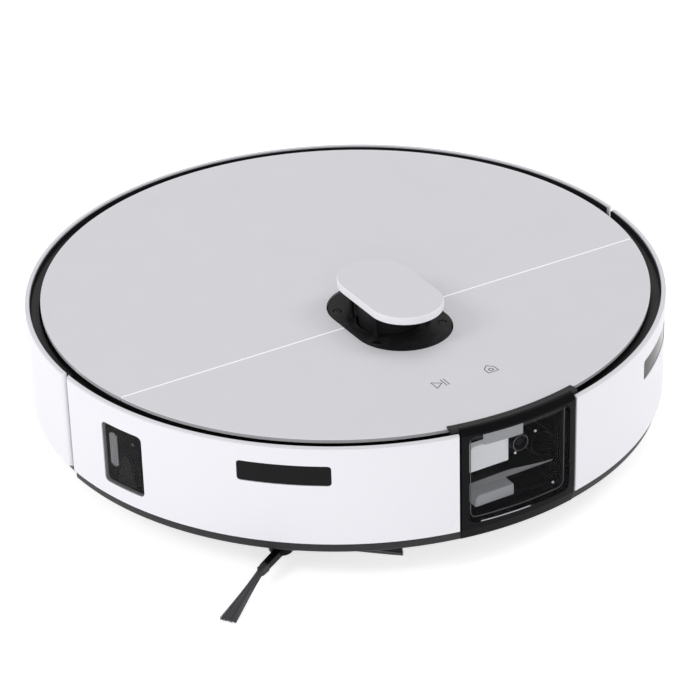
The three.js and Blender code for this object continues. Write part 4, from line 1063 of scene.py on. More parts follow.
def housing():
    """The dark box behind the front window, with its shelf, whose front face carries a painted highlight.
    """
    front, back, wide = OPTICS_FRONT, OPTICS_BACK, OPTICS_HALF
    wall = 2 * MM
    case = block((-wide, wide), (front, back), (OPTICS_LOW, OPTICS_TOP))
    hollow = block((wall - wide, wide - wall), (front - 5 * MM, back - wall),
                   (OPTICS_LOW + wall, OPTICS_TOP - wall))
    case = softened(boolean(case, [hollow]), 0.5 * MM, 2, 50)
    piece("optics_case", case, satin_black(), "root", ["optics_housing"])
    shelf = skin([
        [Vector((x, front - LIGHT_FRONT, high)), Vector((x, back - 2.2 * MM, high)),
         Vector((x, back - 2.2 * MM, low)), Vector((x, front - LIGHT_FRONT, low))]
        for x, low, high in (
            (-27.8 * MM, 42.2 * MM, 44.4 * MM), (-6 * MM, 41.0 * MM, 44.9 * MM),
            (-1 * MM, 41.0 * MM, 44.7 * MM),
            (10 * MM, 41.2 * MM, 43.3 * MM), (24 * MM, 41.3 * MM, 41.9 * MM),
        )
    ])
    # Painted highlight: the shelf's front faces take the grey moulding, while the rest stays black.
    for face in shelf.faces:
        face.material_index = 1 if face.normal.y < -0.7 else 0
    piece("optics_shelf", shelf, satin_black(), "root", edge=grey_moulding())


def light_face(name, x, z, front, material, node=None):
    """One light's face with a rounded upper corner on the robot's right."""
    back = OPTICS_BACK - 2.2 * MM
    outline = filleted([(x[0], z[0]), (x[1], z[0]), (x[1], z[1]), (x[0], z[1])],
                       [0.6 * MM, 0.6 * MM, 0.8 * MM, 3.2 * MM], 5)
    face = skin([[Vector((a, y, b)) for a, b in outline] for y in (front, back)])
    face = softened(face, 0.6 * MM, 3, 45)
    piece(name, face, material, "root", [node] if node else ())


def lights():
    """The fill light and the line laser under it."""
    front = OPTICS_FRONT - LIGHT_FRONT
    # Painted glow: the fill light's face glows brightly and the line laser's face dimly.
    light_face("fill_light_face", *FILL_LIGHT, front, bright_painted_glow(), "fill_light_diffuser")
    light_face("line_laser_face", *LASER_BLOCK, front, dim_painted_glow(), "line_laser_block")


def camera_unit():
    """The camera's barrel, ring and lens, with small pipes beside it whose tips glow as painted glints."""
    x, z = CAMERA
    r = CAMERA_R
    front = OPTICS_FRONT - CAMERA_FRONT
    length_back = front - OPTICS_BACK + 2.3 * MM
    barrel = turned([
        (0, length_back), (r, length_back), (r, -0.8 * MM), (r - 0.5 * MM, 0), (r - 1.0 * MM, 0),
        (r - 1.3 * MM, -0.6 * MM), (r - 1.4 * MM, -2 * MM), (0, -2 * MM),
    ])
    piece("camera_barrel_fine", along_y(barrel, (x, front, z)), satin_black(), "root",
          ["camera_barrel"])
    dome = turned([(0, 0)] + [(LENS_R * math.cos(a), 0.3 * MM + 1.1 * MM * math.sin(a))
                              for a in (math.pi / 2 * k / 10 for k in range(10))] + [(0, 1.4 * MM)])
    piece("camera_lens_fine", along_y(dome, (x, front + 1.9 * MM, z)), gloss_black(), "root",
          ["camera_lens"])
    ring = turned(rectangle(r - 0.75 * MM, r - 0.45 * MM, -0.2 * MM, 0.12 * MM, 0.05 * MM, 2), sides=48)
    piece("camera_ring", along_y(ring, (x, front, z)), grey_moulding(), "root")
    tip = OPTICS_FRONT - LIGHT_FRONT
    depth = OPTICS_BACK - tip - 2.2 * MM
    for i, (x, z) in enumerate(((13.1 * MM, 62.6 * MM), (0.9 * MM, 53.6 * MM), (24.3 * MM, 28 * MM))):
        pipe = turned([(0, -depth), (0.7 * MM, -depth), (0.7 * MM, 0), (0.6 * MM, 0.4 * MM),
                       (0.3 * MM, 0.6 * MM),
                       (0, 0.65 * MM)], sides=20)
        # Painted glints: each pipe's tip takes the glowing pale face.
        for face in pipe.faces:
            face.material_index = 1 if min(v.co.z for v in face.verts) > -0.01 * MM else 0
        piece(f"optics_glint_pipe_{i + 1}", along_y(pipe, (x, tip, z)), satin_black(), "root",
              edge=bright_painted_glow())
    hood = turned(rectangle(6.4 * MM, 7.2 * MM, -depth, 0, 0.3 * MM), sides=48)
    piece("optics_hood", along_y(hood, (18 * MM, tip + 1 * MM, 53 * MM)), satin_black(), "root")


# ---- Laser turret ------------------------------------------------------------------------------


def screw_places():
    """Where the turret's four screws stand."""
    d = 20.5 * MM
    return [(-d, TURRET_Y - d), (d, TURRET_Y - d), (d, TURRET_Y + d), (-d, TURRET_Y + d)]


def turret_plate():
    """The dished black plate flush in the deck."""
    low = PLATE_TOP - 3.1 * MM
    body = loft(lambda inset: stadium(PLATE_R - inset, PLATE_HALF, TURRET_Y, 48), [
        (0, low), (0, PLATE_TOP - 0.5 * MM), (0.15 * MM, PLATE_TOP - 0.15 * MM), (0.5 * MM, PLATE_TOP),
    ])
    dish = turned([(0, PLATE_TOP - 1.2 * MM), (21.6 * MM, PLATE_TOP - 1.2 * MM),
                   (23.4 * MM, PLATE_TOP + 0.1 * MM),
                   (23.4 * MM, PLATE_TOP + 5 * MM), (0, PLATE_TOP + 5 * MM)], 0, TURRET_Y, 96)
    bore = plate(circle(HEAD_R + 1.1 * MM, 0, TURRET_Y, 96), low - 5 * MM, PLATE_TOP + 5 * MM)
    holes = [plate(circle(2.3 * MM, x, y, 32), PLATE_TOP - 1.5 * MM, PLATE_TOP + 5 * MM)
             for x, y in screw_places()]
    body = softened(boolean(body, [dish, bore, *holes]), 0.2 * MM, 2, 50)
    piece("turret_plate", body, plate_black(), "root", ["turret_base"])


def turret_screw(number, x, y):
    """One flat cross-head screw."""
    top = PLATE_TOP - 0.2 * MM
    head = turned([(0, top - 4.8 * MM), (1.1 * MM, top - 4.8 * MM), (1.2 * MM, top - 1.2 * MM),
                   (1.8 * MM, top - 1.1 * MM), (1.9 * MM, top - 0.3 * MM), (1.6 * MM, top), (0, top)],
                  x, y, 32)
    cross = []
    for turn in (20, 110):
        bar = block((-1.1 * MM, 1.1 * MM), (-0.22 * MM, 0.22 * MM), (top - 0.7 * MM, top + 1 * MM))
        cross.append(moved(
            bar, Matrix.Translation((x, y, 0)) @ Matrix.Rotation(math.radians(turn), 4, "Z")))
    head = softened(boolean(head, cross), 0.05 * MM, 1, 50)
    dark = brushed_metal("Dark Screw", (0.05, 0.05, 0.055), 0.4)
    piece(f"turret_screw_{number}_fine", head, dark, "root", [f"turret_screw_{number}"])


def turret_cap():
    """The floating white cap and the posts that hold it."""
    edge = sizes().cap_edge
    low = CAP_TOP - 4.5 * MM
    stack = [(0.6 * MM, low), (0.15 * MM, low + 0.2 * MM), (0, low + 0.6 * MM), (0, CAP_TOP - edge)]
    for k in range(1, 7):
        turn = math.pi / 2 * k / 6
        height = CAP_TOP - edge + edge * math.sin(turn) - 0.1 * MM * (k == 6)
        stack.append((edge * (1 - math.cos(turn)), height))
    stack.append((edge + 3 * MM, CAP_TOP))
    cap = loft(lambda inset: stadium(CAP_R - inset, CAP_HALF, CAP_Y, 48), stack)
    # Painted light: the cap's upright faces take a lit copy of the side white that glows, and its top the
    # darker deck white.
    cap.normal_update()
    for face in cap.faces:
        face.material_index = 1 if abs(face.normal.z) < 0.9 else 0
    side = moulding("Cap Side", colours().shell, 0.3, grain=900.0, depth=0.01, mottle=0.005, wear=0.0,
                    Emission_Color=(1.0, 1.0, 1.0, 1.0), Emission_Strength=0.18)
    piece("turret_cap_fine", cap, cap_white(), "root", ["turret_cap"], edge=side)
    under = loft(lambda inset: stadium(CAP_R - 2.4 * MM - inset, CAP_HALF, CAP_Y, 40), [
        (0.3 * MM, low - 0.6 * MM), (0, low - 0.3 * MM), (0, low + 0.1 * MM),
    ])
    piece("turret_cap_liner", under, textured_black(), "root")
    for i, (sx, sy) in enumerate(((-1, -1), (1, -1), (1, 1), (-1, 1))):
        x, y = sx * 16 * MM, TURRET_Y + sy * 12.7 * MM
        post = turned([(0, PLATE_TOP - 1.1 * MM), (1.9 * MM, PLATE_TOP - 1.1 * MM),
                       (1.4 * MM, PLATE_TOP + 1 * MM),
                       (1.25 * MM, PLATE_TOP + 3 * MM), (1.25 * MM, low - 1.4 * MM),
                       (1.8 * MM, low - 0.4 * MM),
                       (0, low - 0.4 * MM)], x, y, 32)
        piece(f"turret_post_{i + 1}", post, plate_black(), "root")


def lidar_head():
    """The spinning head with its two lens windows and its drive pulley."""
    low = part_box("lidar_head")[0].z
    top = HEAD_TOP
    profile = [
        (0, low + 9.5 * MM), (4.5 * MM, low + 9.5 * MM), (4.5 * MM, low), (HEAD_R, low),
        (HEAD_R, low + 1.5 * MM),
        (HEAD_R - 2 * MM, low + 1.7 * MM), (HEAD_R - 2 * MM, low + 3.8 * MM), (HEAD_R, low + 4 * MM),
        (HEAD_R, low + 5.5 * MM), (HEAD_R - 0.3 * MM, low + 5.8 * MM),
        (HEAD_R - 0.3 * MM, PLATE_TOP + 0.6 * MM),
        (HEAD_R, PLATE_TOP + 1.2 * MM), (HEAD_R, top - 1.6 * MM), (HEAD_R - 0.5 * MM, top - 0.5 * MM),
        (HEAD_R - 1.6 * MM, top), (0, top),
    ]
    body = turned(profile, 0, TURRET_Y, 96)
    window = block((6 * MM, 22 * MM), (TURRET_Y - 9 * MM, TURRET_Y + 9 * MM),
                   (PLATE_TOP + 2.6 * MM, top - 3 * MM))
    body = softened(boolean(body, [window]), 0.3 * MM, 2, 50)
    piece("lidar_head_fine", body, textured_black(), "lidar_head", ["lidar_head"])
    for i, (y, r) in enumerate(((4.2 * MM, 3.6 * MM), (-4.6 * MM, 2.6 * MM))):
        lens = turned([(0, 0), (r, 0), (r, 3 * MM), (r * 0.7, 4.1 * MM), (r * 0.35, 4.6 * MM),
                       (0, 4.7 * MM)], sides=40)
        place = (6 * MM, TURRET_Y + y, (PLATE_TOP + top) / 2)
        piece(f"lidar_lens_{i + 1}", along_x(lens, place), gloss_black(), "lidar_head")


def turret_pieces():
    """Everything of the laser turret that shows."""
    turret_plate()
    for i, (x, y) in enumerate(screw_places()):
        turret_screw(i + 1, x, y)
    turret_cap()
    lidar_head()


# ---- Inner frame -------------------------------------------------------------------------------


def frame_walls():
    """The black wall behind the white side, with the groove's floor, the rear lip and the hinge's ears."""
    outer = side_in() - 0.3 * MM
    rear_in = outer - 5 * MM
    lip_top = SIDE_BOTTOM - 0.3 * MM
    start = REAR_START + 0.7
    rear = sweep(filleted([
        (BASE_R + 1 * MM, LIP_BOTTOM + 0.4 * MM), (outer - 0.5 * MM, LIP_BOTTOM + 0.4 * MM),
        (outer - 0.5 * MM, lip_top),
        (outer, lip_top), (outer, BAND_TOP), (BAND_R, BAND_TOP), (BAND_R, BODY_TOP - 4.5 * MM),
        (rear_in, BODY_TOP - 4.5 * MM), (rear_in, lip_top), (BASE_R + 1 * MM, lip_top),
    ], [0.3 * MM, 1.2 * MM, 0.1 * MM, 0.1 * MM, 0.3 * MM, 0.3 * MM, 0.3 * MM, 0.4 * MM, 0.3 * MM, 0.3 * MM],
    3),
        start, 360 - start)
    pocket = block((-52 * MM, 52 * MM), (140 * MM, 180 * MM), (62 * MM, 90 * MM))
    round_in = plate(circle(outer - 2.1 * MM, sides=240), 60 * MM, 95 * MM)
    pocket = boolean(pocket, [round_in], "INTERSECT")
    rear = softened(boolean(rear, [pocket]), 0.2 * MM, 2, 55)
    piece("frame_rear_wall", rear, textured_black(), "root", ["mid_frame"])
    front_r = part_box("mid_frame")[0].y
    front = sweep(rectangle(-front_r - 3.5 * MM, -front_r, 18.5 * MM, 70.8 * MM, 0.4 * MM),
                  -start - 2, start + 2)
    gate = block((-32 * MM, 32 * MM), (-190 * MM, -140 * MM), (21.7 * MM, 90 * MM))
    front = softened(boolean(front, [gate]), 0.2 * MM, 2, 55)
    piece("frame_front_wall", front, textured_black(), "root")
    flange = sweep(rectangle(156.6 * MM, 164.5 * MM, 66.3 * MM, 69.5 * MM, 0.4 * MM), 0, 360)
    gates = [block((-32 * MM, 32 * MM), (-190 * MM, -140 * MM), (60 * MM, 90 * MM)),
             block((-52 * MM, 52 * MM), (140 * MM, 180 * MM), (60 * MM, 90 * MM))]
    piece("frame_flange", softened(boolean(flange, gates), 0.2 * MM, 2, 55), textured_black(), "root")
    hinge_ears()


def hinge_ears():
    """The two ears that carry the lid's pins."""
    y, z = HINGE[1], HINGE[2]
    ears = []
    for side in (-1, 1):
        outline = [(y + 2.9 * MM, 59 * MM)]
        outline += [(y + dy, z + dz) for dy, dz in arc((0, 0), 2.9 * MM, 0, 180, 14)]
        outline += [(y - 2.9 * MM, 59 * MM)]
        ear = skin([[Vector((x, a, b)) for a, b in outline] for x in (side * 39.5 * MM, side * 43.5 * MM)])
        hole = along_x(plate(circle(1.55 * MM, sides=24), -60 * MM, 60 * MM), (0, y, z))
        foot = block((side * 41.5 * MM - 2 * MM, side * 41.5 * MM + 2 * MM), (y, y + 6 * MM),
                     (59 * MM, 62 * MM))
        ears.append(softened(boolean(boolean(ear, [foot], "UNION"), [hole]), 0.25 * MM, 2, 50))
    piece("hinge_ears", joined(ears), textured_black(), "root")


def inner_deck():
    """The black deck under the lid, with its bin opening and screws."""
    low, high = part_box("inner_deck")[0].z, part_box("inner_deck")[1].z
    disc = turned([(0, low), (162.5 * MM, low), (162.5 * MM, high), (0, high)], sides=240)
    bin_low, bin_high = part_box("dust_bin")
    hole = bin_block(1.2 * MM, low - 5 * MM, high + 5 * MM)
    cuts = [
        hole,
        plate(circle(HEAD_R + 1.4 * MM, 0, TURRET_Y, 72), low - 5 * MM, high + 5 * MM),
        block((-52 * MM, 52 * MM), (146 * MM, 190 * MM), (low - 5 * MM, high + 5 * MM)),
        block((-32 * MM, 32 * MM), (-190 * MM, -146 * MM), (low - 5 * MM, high + 5 * MM)),
    ]
    deck = softened(boolean(disc, cuts), 0.4 * MM, 2, 50)
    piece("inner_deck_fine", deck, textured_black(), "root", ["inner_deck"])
    heads = []
    for x, y in ((-120, 60), (-110, -20), (110, -20), (125, 60), (-96, 110), (96, 110),
                 (-60, 20), (60, 20)):
        heads.append(screw_head(x * MM, y * MM, high, 1))
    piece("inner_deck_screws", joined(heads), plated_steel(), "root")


def screw_head(x, y, z, up):
    """A pan-head screw's head; up is 1 on top and -1 underneath."""
    head = turned([(0, 0), (2.6 * MM, 0), (2.5 * MM, 0.7 * MM), (1.8 * MM, 1.2 * MM), (0, 1.4 * MM)],
                  sides=24)
    cross = [block((-1.4 * MM, 1.4 * MM), (-0.3 * MM, 0.3 * MM), (0.7 * MM, 3 * MM)),
             block((-0.3 * MM, 0.3 * MM), (-1.4 * MM, 1.4 * MM), (0.7 * MM, 3 * MM))]
    head = boolean(head, cross)
    flip = Matrix.Rotation(0 if up > 0 else math.pi, 4, "X")
    return moved(head, Matrix.Translation((x, y, z)) @ flip)


def bin_block(margin, z0, z1):
    """The dust bin's plan between two heights, grown by a margin."""
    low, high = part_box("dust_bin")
    plan = block((low.x - margin, high.x + margin), (low.y - margin, high.y + margin), (z0, z1))
    round_off = plate(circle(155 * MM + margin, sides=240), z0 - MM, z1 + MM)
    return boolean(plan, [round_off], "INTERSECT")


def dust_bin():
    """The smoked dust bin and its cover with the pleated filter and the handle."""
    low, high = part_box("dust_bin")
    shell = bin_block(0, low.z, high.z)
    hollow = bin_block(-2.2 * MM, low.z + 2.2 * MM, high.z + 5 * MM)
    inlet = block((-42 * MM, 36 * MM), (55 * MM, 64 * MM), (26 * MM, 40 * MM))
    shell = softened(boolean(shell, [hollow, inlet]), 0.5 * MM, 2, 50)
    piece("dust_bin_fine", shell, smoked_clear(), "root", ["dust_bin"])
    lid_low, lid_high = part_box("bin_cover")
    cover = bin_block(0, lid_low.z, lid_low.z + 2.5 * MM)
    rim = block((-58 * MM, 26 * MM), (80 * MM, 132 * MM), (lid_low.z + 2.3 * MM, lid_high.z))
    well = block((-54 * MM, 22 * MM), (84 * MM, 128 * MM), (lid_low.z + 1.2 * MM, lid_high.z + 5 * MM))
    cover = softened(boolean(boolean(cover, [rim], "UNION"), [well]), 0.5 * MM, 2, 50)
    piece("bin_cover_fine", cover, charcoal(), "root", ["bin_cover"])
    pleats = []
    for i in range(31):
        x = -53 * MM + i * 2.4 * MM
        ridge = [(x, lid_low.z + 1.4 * MM), (x + 2.2 * MM, lid_low.z + 1.4 * MM),
                 (x + 1.1 * MM, lid_high.z - 0.6 * MM)]
        pleats.append(skin([[Vector((a, y, b)) for a, b in ridge] for y in (85 * MM, 127 * MM)]))
    paper = moulding("Filter Paper", (0.62, 0.61, 0.57), 0.85, grain=2600.0, depth=0.4,
                     mottle=0.08, wear=0.0)
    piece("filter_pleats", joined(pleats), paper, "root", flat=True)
    handle = softened(block((30 * MM, 38 * MM), (84 * MM, 126 * MM), (lid_low.z + 2.6 * MM, lid_high.z)),
                      1.2 * MM, 4)
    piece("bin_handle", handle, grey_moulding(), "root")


# ---- Underside ---------------------------------------------------------------------------------


def mirrored(x0, x1, side):
    """An X range on one side of the robot."""
    return tuple(sorted((side * x0, side * x1)))


def chassis():
    """The base with its wheel wells, brush mouth, caster socket and side brush boss, and the wheel
    brackets.
    """
    flat_r = BASE_R - 15 * MM
    low = BASE_Z
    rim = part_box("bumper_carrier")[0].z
    dish = turned([
        (0, low), (flat_r, low), (flat_r + 2 * MM, low + 0.3 * MM), (BASE_R - 1 * MM, rim - 0.4 * MM),
        (BASE_R, rim + 0.6 * MM),
        (BASE_R, rim + 3 * MM), (flat_r, low + 3 * MM), (0, low + 3 * MM),
    ], sides=240)
    socket = plate(circle(24 * MM, 0, CASTER_MID.y, 72), low, 36 * MM)
    boss = plate(circle(12 * MM, SIDE_BRUSH.x, SIDE_BRUSH.y, 48), low + 0.2 * MM, low + 6 * MM)
    boss = boolean(boss, [plate(circle(BASE_R - 0.2 * MM, sides=240), 0, 50 * MM)], "INTERSECT")
    body = boolean(dish, [socket, boss], "UNION")
    cuts = [
        plate(circle(21 * MM, 0, CASTER_MID.y, 72), low - 5 * MM, 33 * MM),
        plate(circle(4.3 * MM, 0, CASTER_MID.y, 24), 30 * MM, 45 * MM),
        plate(rectangle(-79.5 * MM, 79.5 * MM, 5.5 * MM, 54.5 * MM, 2 * MM), low - 5 * MM, low + 5 * MM),
        plate(circle(3.3 * MM, SIDE_BRUSH.x, SIDE_BRUSH.y, 24), low - 5 * MM, 30 * MM),
        plate(rectangle(-49 * MM, 49 * MM, -97.5 * MM, -96.9 * MM), low - 5 * MM, low + 0.5 * MM),
        plate(rectangle(-49 * MM, 49 * MM, -15.5 * MM, -14.9 * MM), low - 5 * MM, low + 0.5 * MM),
        plate(rectangle(-49 * MM, -48.4 * MM, -97.5 * MM, -14.9 * MM), low - 5 * MM, low + 0.5 * MM),
        plate(rectangle(48.4 * MM, 49 * MM, -97.5 * MM, -14.9 * MM), low - 5 * MM, low + 0.5 * MM),
    ]
    for side in (-1, 1):
        x = mirrored(86 * MM, 128.5 * MM, side)
        cuts.append(plate(rectangle(*x, -37 * MM, 43 * MM, 3 * MM), low - 5 * MM, low + 6 * MM))
    body = softened(boolean(body, cuts), 0.4 * MM, 2, 50)
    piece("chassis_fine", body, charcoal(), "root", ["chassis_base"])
    brackets = []
    for side in (-1, 1):
        for x in (mirrored(83 * MM, 86.7 * MM, side), mirrored(106.3 * MM, 110 * MM, side)):
            ear = block(x, (43 * MM, 53 * MM), (12 * MM, 51 * MM))
            brackets.append(softened(ear, 1 * MM, 3, 50))
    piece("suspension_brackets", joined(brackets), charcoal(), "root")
    underside_details()


def underside_details():
    """Screws, ribs, cliff sensor windows and the grip of the battery door."""
    heads = []
    for x, y in ((-60, -135), (60, -135), (-140, -30), (140, -30), (-135, 60), (135, 60),
                 (-70, 120), (70, 120),
                 (0, 142), (-43, -90), (43, -90), (0, -22)):
        heads.append(screw_head(x * MM, y * MM, BASE_Z, -1))
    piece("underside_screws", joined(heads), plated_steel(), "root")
    windows = []
    frames = []
    for bearing, radius in ((-20, 143), (20, 143), (75, 146), (-75, 146)):
        outline = rectangle(-9 * MM, 9 * MM, -4 * MM, 4 * MM, 2 * MM)
        pane = plate(rectangle(-7.4 * MM, 7.4 * MM, -2.5 * MM, 2.5 * MM, 1.2 * MM),
                     BASE_Z - 0.9 * MM, BASE_Z)
        bezel = plate(outline, BASE_Z - 0.6 * MM, BASE_Z + 0.2 * MM)
        place = Matrix.Translation(spot(radius * MM, bearing)) @ Matrix.Rotation(math.radians(bearing), 4,
                                                                                 "Z")
        windows.append(moved(softened(pane, 0.3 * MM), place))
        frames.append(moved(softened(bezel, 0.3 * MM), place))
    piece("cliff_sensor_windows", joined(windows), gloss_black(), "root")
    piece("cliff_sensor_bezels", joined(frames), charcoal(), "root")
    ribs = []
    for i in range(7):
        y = 74 * MM + i * 9 * MM
        reach = 78 * MM - i * 4 * MM
        rib = plate(stadium(1.2 * MM, reach, 0, 8), BASE_Z - 0.6 * MM, BASE_Z + 0.2 * MM)
        place = Matrix.Translation((0, y, 0)) @ Matrix.Rotation(math.pi / 2, 4, "Z")
        ribs.append(moved(softened(rib, 0.25 * MM, 2), place))
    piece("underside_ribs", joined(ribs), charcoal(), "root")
    grip = plate(stadium(4 * MM, 9 * MM, 0, 16), BASE_Z - 0.5 * MM, BASE_Z + 0.2 * MM)
    place = Matrix.Translation((0, -84 * MM, 0)) @ Matrix.Rotation(math.pi / 2, 4, "Z")
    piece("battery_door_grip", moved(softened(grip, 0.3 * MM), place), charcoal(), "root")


def guard_and_contacts():
    """The frame round the roller's mouth and the two charging pads."""
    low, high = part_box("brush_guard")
    ring = plate(rectangle(low.x, high.x, low.y, high.y, 3 * MM), low.z, high.z)
    mouth = plate(rectangle(-79.4 * MM, 79.4 * MM, 6 * MM, 54 * MM, 2 * MM), low.z - MM, high.z + MM)
    guard = softened(boolean(ring, [mouth]), 0.6 * MM, 3, 50)
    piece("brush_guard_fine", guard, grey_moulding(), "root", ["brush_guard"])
    latches = []
    for x in (-55 * MM, 55 * MM):
        tab = plate(rectangle(x - 8 * MM, x + 8 * MM, high.y - 5 * MM, high.y + 1 * MM, 1 * MM),
                    low.z - 0.3 * MM, high.z)
        latches.append(softened(tab, 0.4 * MM))
    orange = moulding("Latch Grey", (0.36, 0.37, 0.4), 0.4, depth=0.05)
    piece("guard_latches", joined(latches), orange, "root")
    plated = brushed_metal("Plated Contact", (0.6, 0.46, 0.24), 0.25)
    for side in ("left", "right"):
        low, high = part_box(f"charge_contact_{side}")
        pad = plate(rectangle(low.x, high.x, low.y, high.y, 2.5 * MM), low.z, BASE_Z + 0.3 * MM)
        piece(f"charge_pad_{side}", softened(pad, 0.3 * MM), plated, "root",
              [f"charge_contact_{side}"])


def brush_chamber():
    """The chamber over the roller and its duct to the bin."""
    dressed("brush_housing", charcoal())


# ---- Wheels ------------------------------------------------------------------------------------


def tyre(side):
    """A tyre with chevron treads."""
    sides = 192
    lugs = 24
    half = WHEEL_W / 2
    inner = WHEEL_R - 5 * MM
    across = [-1, -0.97, -0.9, -0.6, -0.3, -0.05, 0.05, 0.3, 0.6, 0.9, 0.97, 1]
    rings = []
    for i in range(sides):
        ring = [(inner, -half + 0.4 * MM)]
        for a in across:
            wave = (lugs * i / sides + 0.35 * abs(a)) % 1.0
            deep = 1.5 * MM if 0.0 <= wave < 0.3 and abs(a) < 0.95 else 0.0
            shoulder = 1.6 * MM * max(0.0, (abs(a) - 0.9) / 0.1) ** 2
            ring.append((WHEEL_R - deep - shoulder, a * half))
        ring.append((inner, half - 0.4 * MM))
        turn = 2 * math.pi * i / sides + math.pi / 2
        rings.append([Vector((x, r * math.cos(turn), r * math.sin(turn))) for r, x in ring])
    tag = "left" if side > 0 else "right"
    bm = moved(skin(rings, loop=True), Matrix.Translation((side * WHEEL_X, 0, WHEEL_R)))
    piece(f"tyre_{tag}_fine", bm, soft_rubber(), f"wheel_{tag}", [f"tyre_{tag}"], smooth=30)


def rim(side):
    """A wheel rim with six pockets and a hub cap."""
    tag = "left" if side > 0 else "right"
    r = WHEEL_R - 5.3 * MM
    half = WHEEL_W / 2 - 0.5 * MM
    body = turned([
        (3.4 * MM, -half), (r, -half), (r, half), (r - 2 * MM, half), (r - 3.2 * MM, half - 3 * MM),
        (11 * MM, half - 3 * MM), (9.5 * MM, half - 0.4 * MM), (3.4 * MM, half - 0.4 * MM),
    ], sides=96)
    pockets = []
    for k in range(6):
        turn = math.radians(60 * k)
        wedge = filleted(
            [(12.5 * MM, -4 * MM), (22 * MM, -8.5 * MM), (22 * MM, 8.5 * MM), (12.5 * MM, 4 * MM)],
            1.5 * MM)
        pocket = plate(wedge, half - 8 * MM, half + 4 * MM)
        pockets.append(moved(pocket, Matrix.Rotation(turn, 4, "Z")))
    body = softened(boolean(body, pockets), 0.4 * MM, 2, 45)
    body = along_x(moved(body, Matrix.Scale(side, 4, (0, 0, 1))), (side * WHEEL_X, 0, WHEEL_R))
    bmesh.ops.recalc_face_normals(body, faces=body.faces)
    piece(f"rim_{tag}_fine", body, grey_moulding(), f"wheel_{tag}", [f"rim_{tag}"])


def suspension(side):
    """Finishes for the gearbox arm and the coil that presses it down."""
    tag = "left" if side > 0 else "right"
    dressed(f"suspension_arm_{tag}", charcoal())
    dressed(f"suspension_spring_{tag}", plated_steel())


def wheel_pieces():
    """Both drive wheels."""
    for side in (-1, 1):
        tyre(side)
        rim(side)
        suspension(side)


# ---- Caster ------------------------------------------------------------------------------------


def caster():
    """The swivelling fork and its small wheel."""
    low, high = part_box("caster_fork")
    y = CASTER_MID.y
    r = high.x
    fork = turned([
        (0, low.z + 0.8 * MM), (r - 3 * MM, low.z), (r - 0.8 * MM, low.z + 0.8 * MM),
        (r, low.z + 2.5 * MM), (r, 31.4 * MM),
        (r - 0.6 * MM, 32 * MM), (4 * MM, 32 * MM), (4 * MM, high.z), (0, high.z),
    ], 0, y, 72)
    slot = block((-7.3 * MM, 7.3 * MM), (y - 30 * MM, y + 30 * MM), (-5 * MM, 27.5 * MM))
    fork = softened(boolean(fork, [slot]), 0.5 * MM, 2, 50)
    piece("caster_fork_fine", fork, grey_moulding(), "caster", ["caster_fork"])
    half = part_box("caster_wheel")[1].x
    w = CASTER_WHEEL_R
    wheel = turned([
        (1.9 * MM, -half), (w - 2.5 * MM, -half), (w - 0.8 * MM, -half + 0.8 * MM), (w, -half + 2.6 * MM),
        (w, half - 2.6 * MM),
        (w - 0.8 * MM, half - 0.8 * MM), (w - 2.5 * MM, half), (1.9 * MM, half),
    ], sides=72)
    wheel = along_x(wheel, CASTER_WHEEL_MID)
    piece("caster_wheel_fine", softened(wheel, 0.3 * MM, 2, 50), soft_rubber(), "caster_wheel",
          ["caster_wheel"])
    dressed("caster_axle", plated_steel())


# ---- Roller ------------------------------------------------------------------------------------


def roller():
    """The roller: a core, three rubber fins and three rows of bristles, wound in a shallow V."""
    half = 76 * MM
    twist = math.radians(70)
    steps = 96
    core_r = 12.5 * MM
    tip_r = ROLLER_R - 0.1 * MM

    def turn_at(x):
        return twist * abs(x / half)

    core = turned([(0, -half), (core_r - 1 * MM, -half), (core_r, -half + 1 * MM), (core_r, half - 1 * MM),
                   (core_r - 1 * MM, half), (0, half)], sides=64)
    piece("roller_core", along_x(core, ROLLER_MID), grey_moulding(), "main_brush",
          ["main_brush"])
    fins = []
    for k in range(3):
        rings = []
        for i in range(steps + 1):
            x = -half + 2 * half * i / steps
            base = 2 * math.pi * k / 3 + turn_at(x)
            ring = []
            for r, lean in ((core_r - 1 * MM, -0.13), (tip_r - 1 * MM, -0.035), (tip_r, 0.0),
                            (tip_r - 1 * MM, 0.035),
                            (core_r - 1 * MM, 0.13)):
                ring.append(ROLLER_MID + Vector((x, r * math.cos(base + lean), r * math.sin(base + lean))))
            rings.append(ring)
        fins.append(skin(rings))
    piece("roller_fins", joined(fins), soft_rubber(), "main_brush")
    draw = random.Random(SEED)
    strands = []
    for k in range(3):
        for i in range(46):
            x = -half + 2 * MM + (2 * half - 4 * MM) * i / 45
            base = 2 * math.pi * (k + 0.5) / 3 + turn_at(x)
            for _ in range(4):
                lean = draw.uniform(-0.06, 0.06)
                drift = draw.uniform(-1.4, 1.4) * MM
                foot = ROLLER_MID + Vector((x, (core_r - 1 * MM) * math.cos(base),
                                            (core_r - 1 * MM) * math.sin(base)))
                reach = tip_r - draw.uniform(0.0, 0.8) * MM
                tip = ROLLER_MID + Vector((x + drift, reach * math.cos(base + lean),
                                           reach * math.sin(base + lean)))
                strands.append(tube([foot, foot.lerp(tip, 0.6), tip], 0.28 * MM, 4, [1.0, 0.9, 0.5]))
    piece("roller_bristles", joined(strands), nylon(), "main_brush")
    ends = []
    for side in (-1, 1):
        stub = turned([(0, 0), (3.4 * MM, 0), (3.4 * MM, 5 * MM), (0, 5 * MM)], sides=24)
        ends.append(along_x(stub, ROLLER_MID + Vector((76.2 * MM if side > 0 else -81.2 * MM, 0, 0))))
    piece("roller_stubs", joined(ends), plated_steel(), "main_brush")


# ---- Side brush --------------------------------------------------------------------------------

TUFTS = ("side_brush_tuft_1", "side_brush_tuft_2", "side_brush_tuft_3")


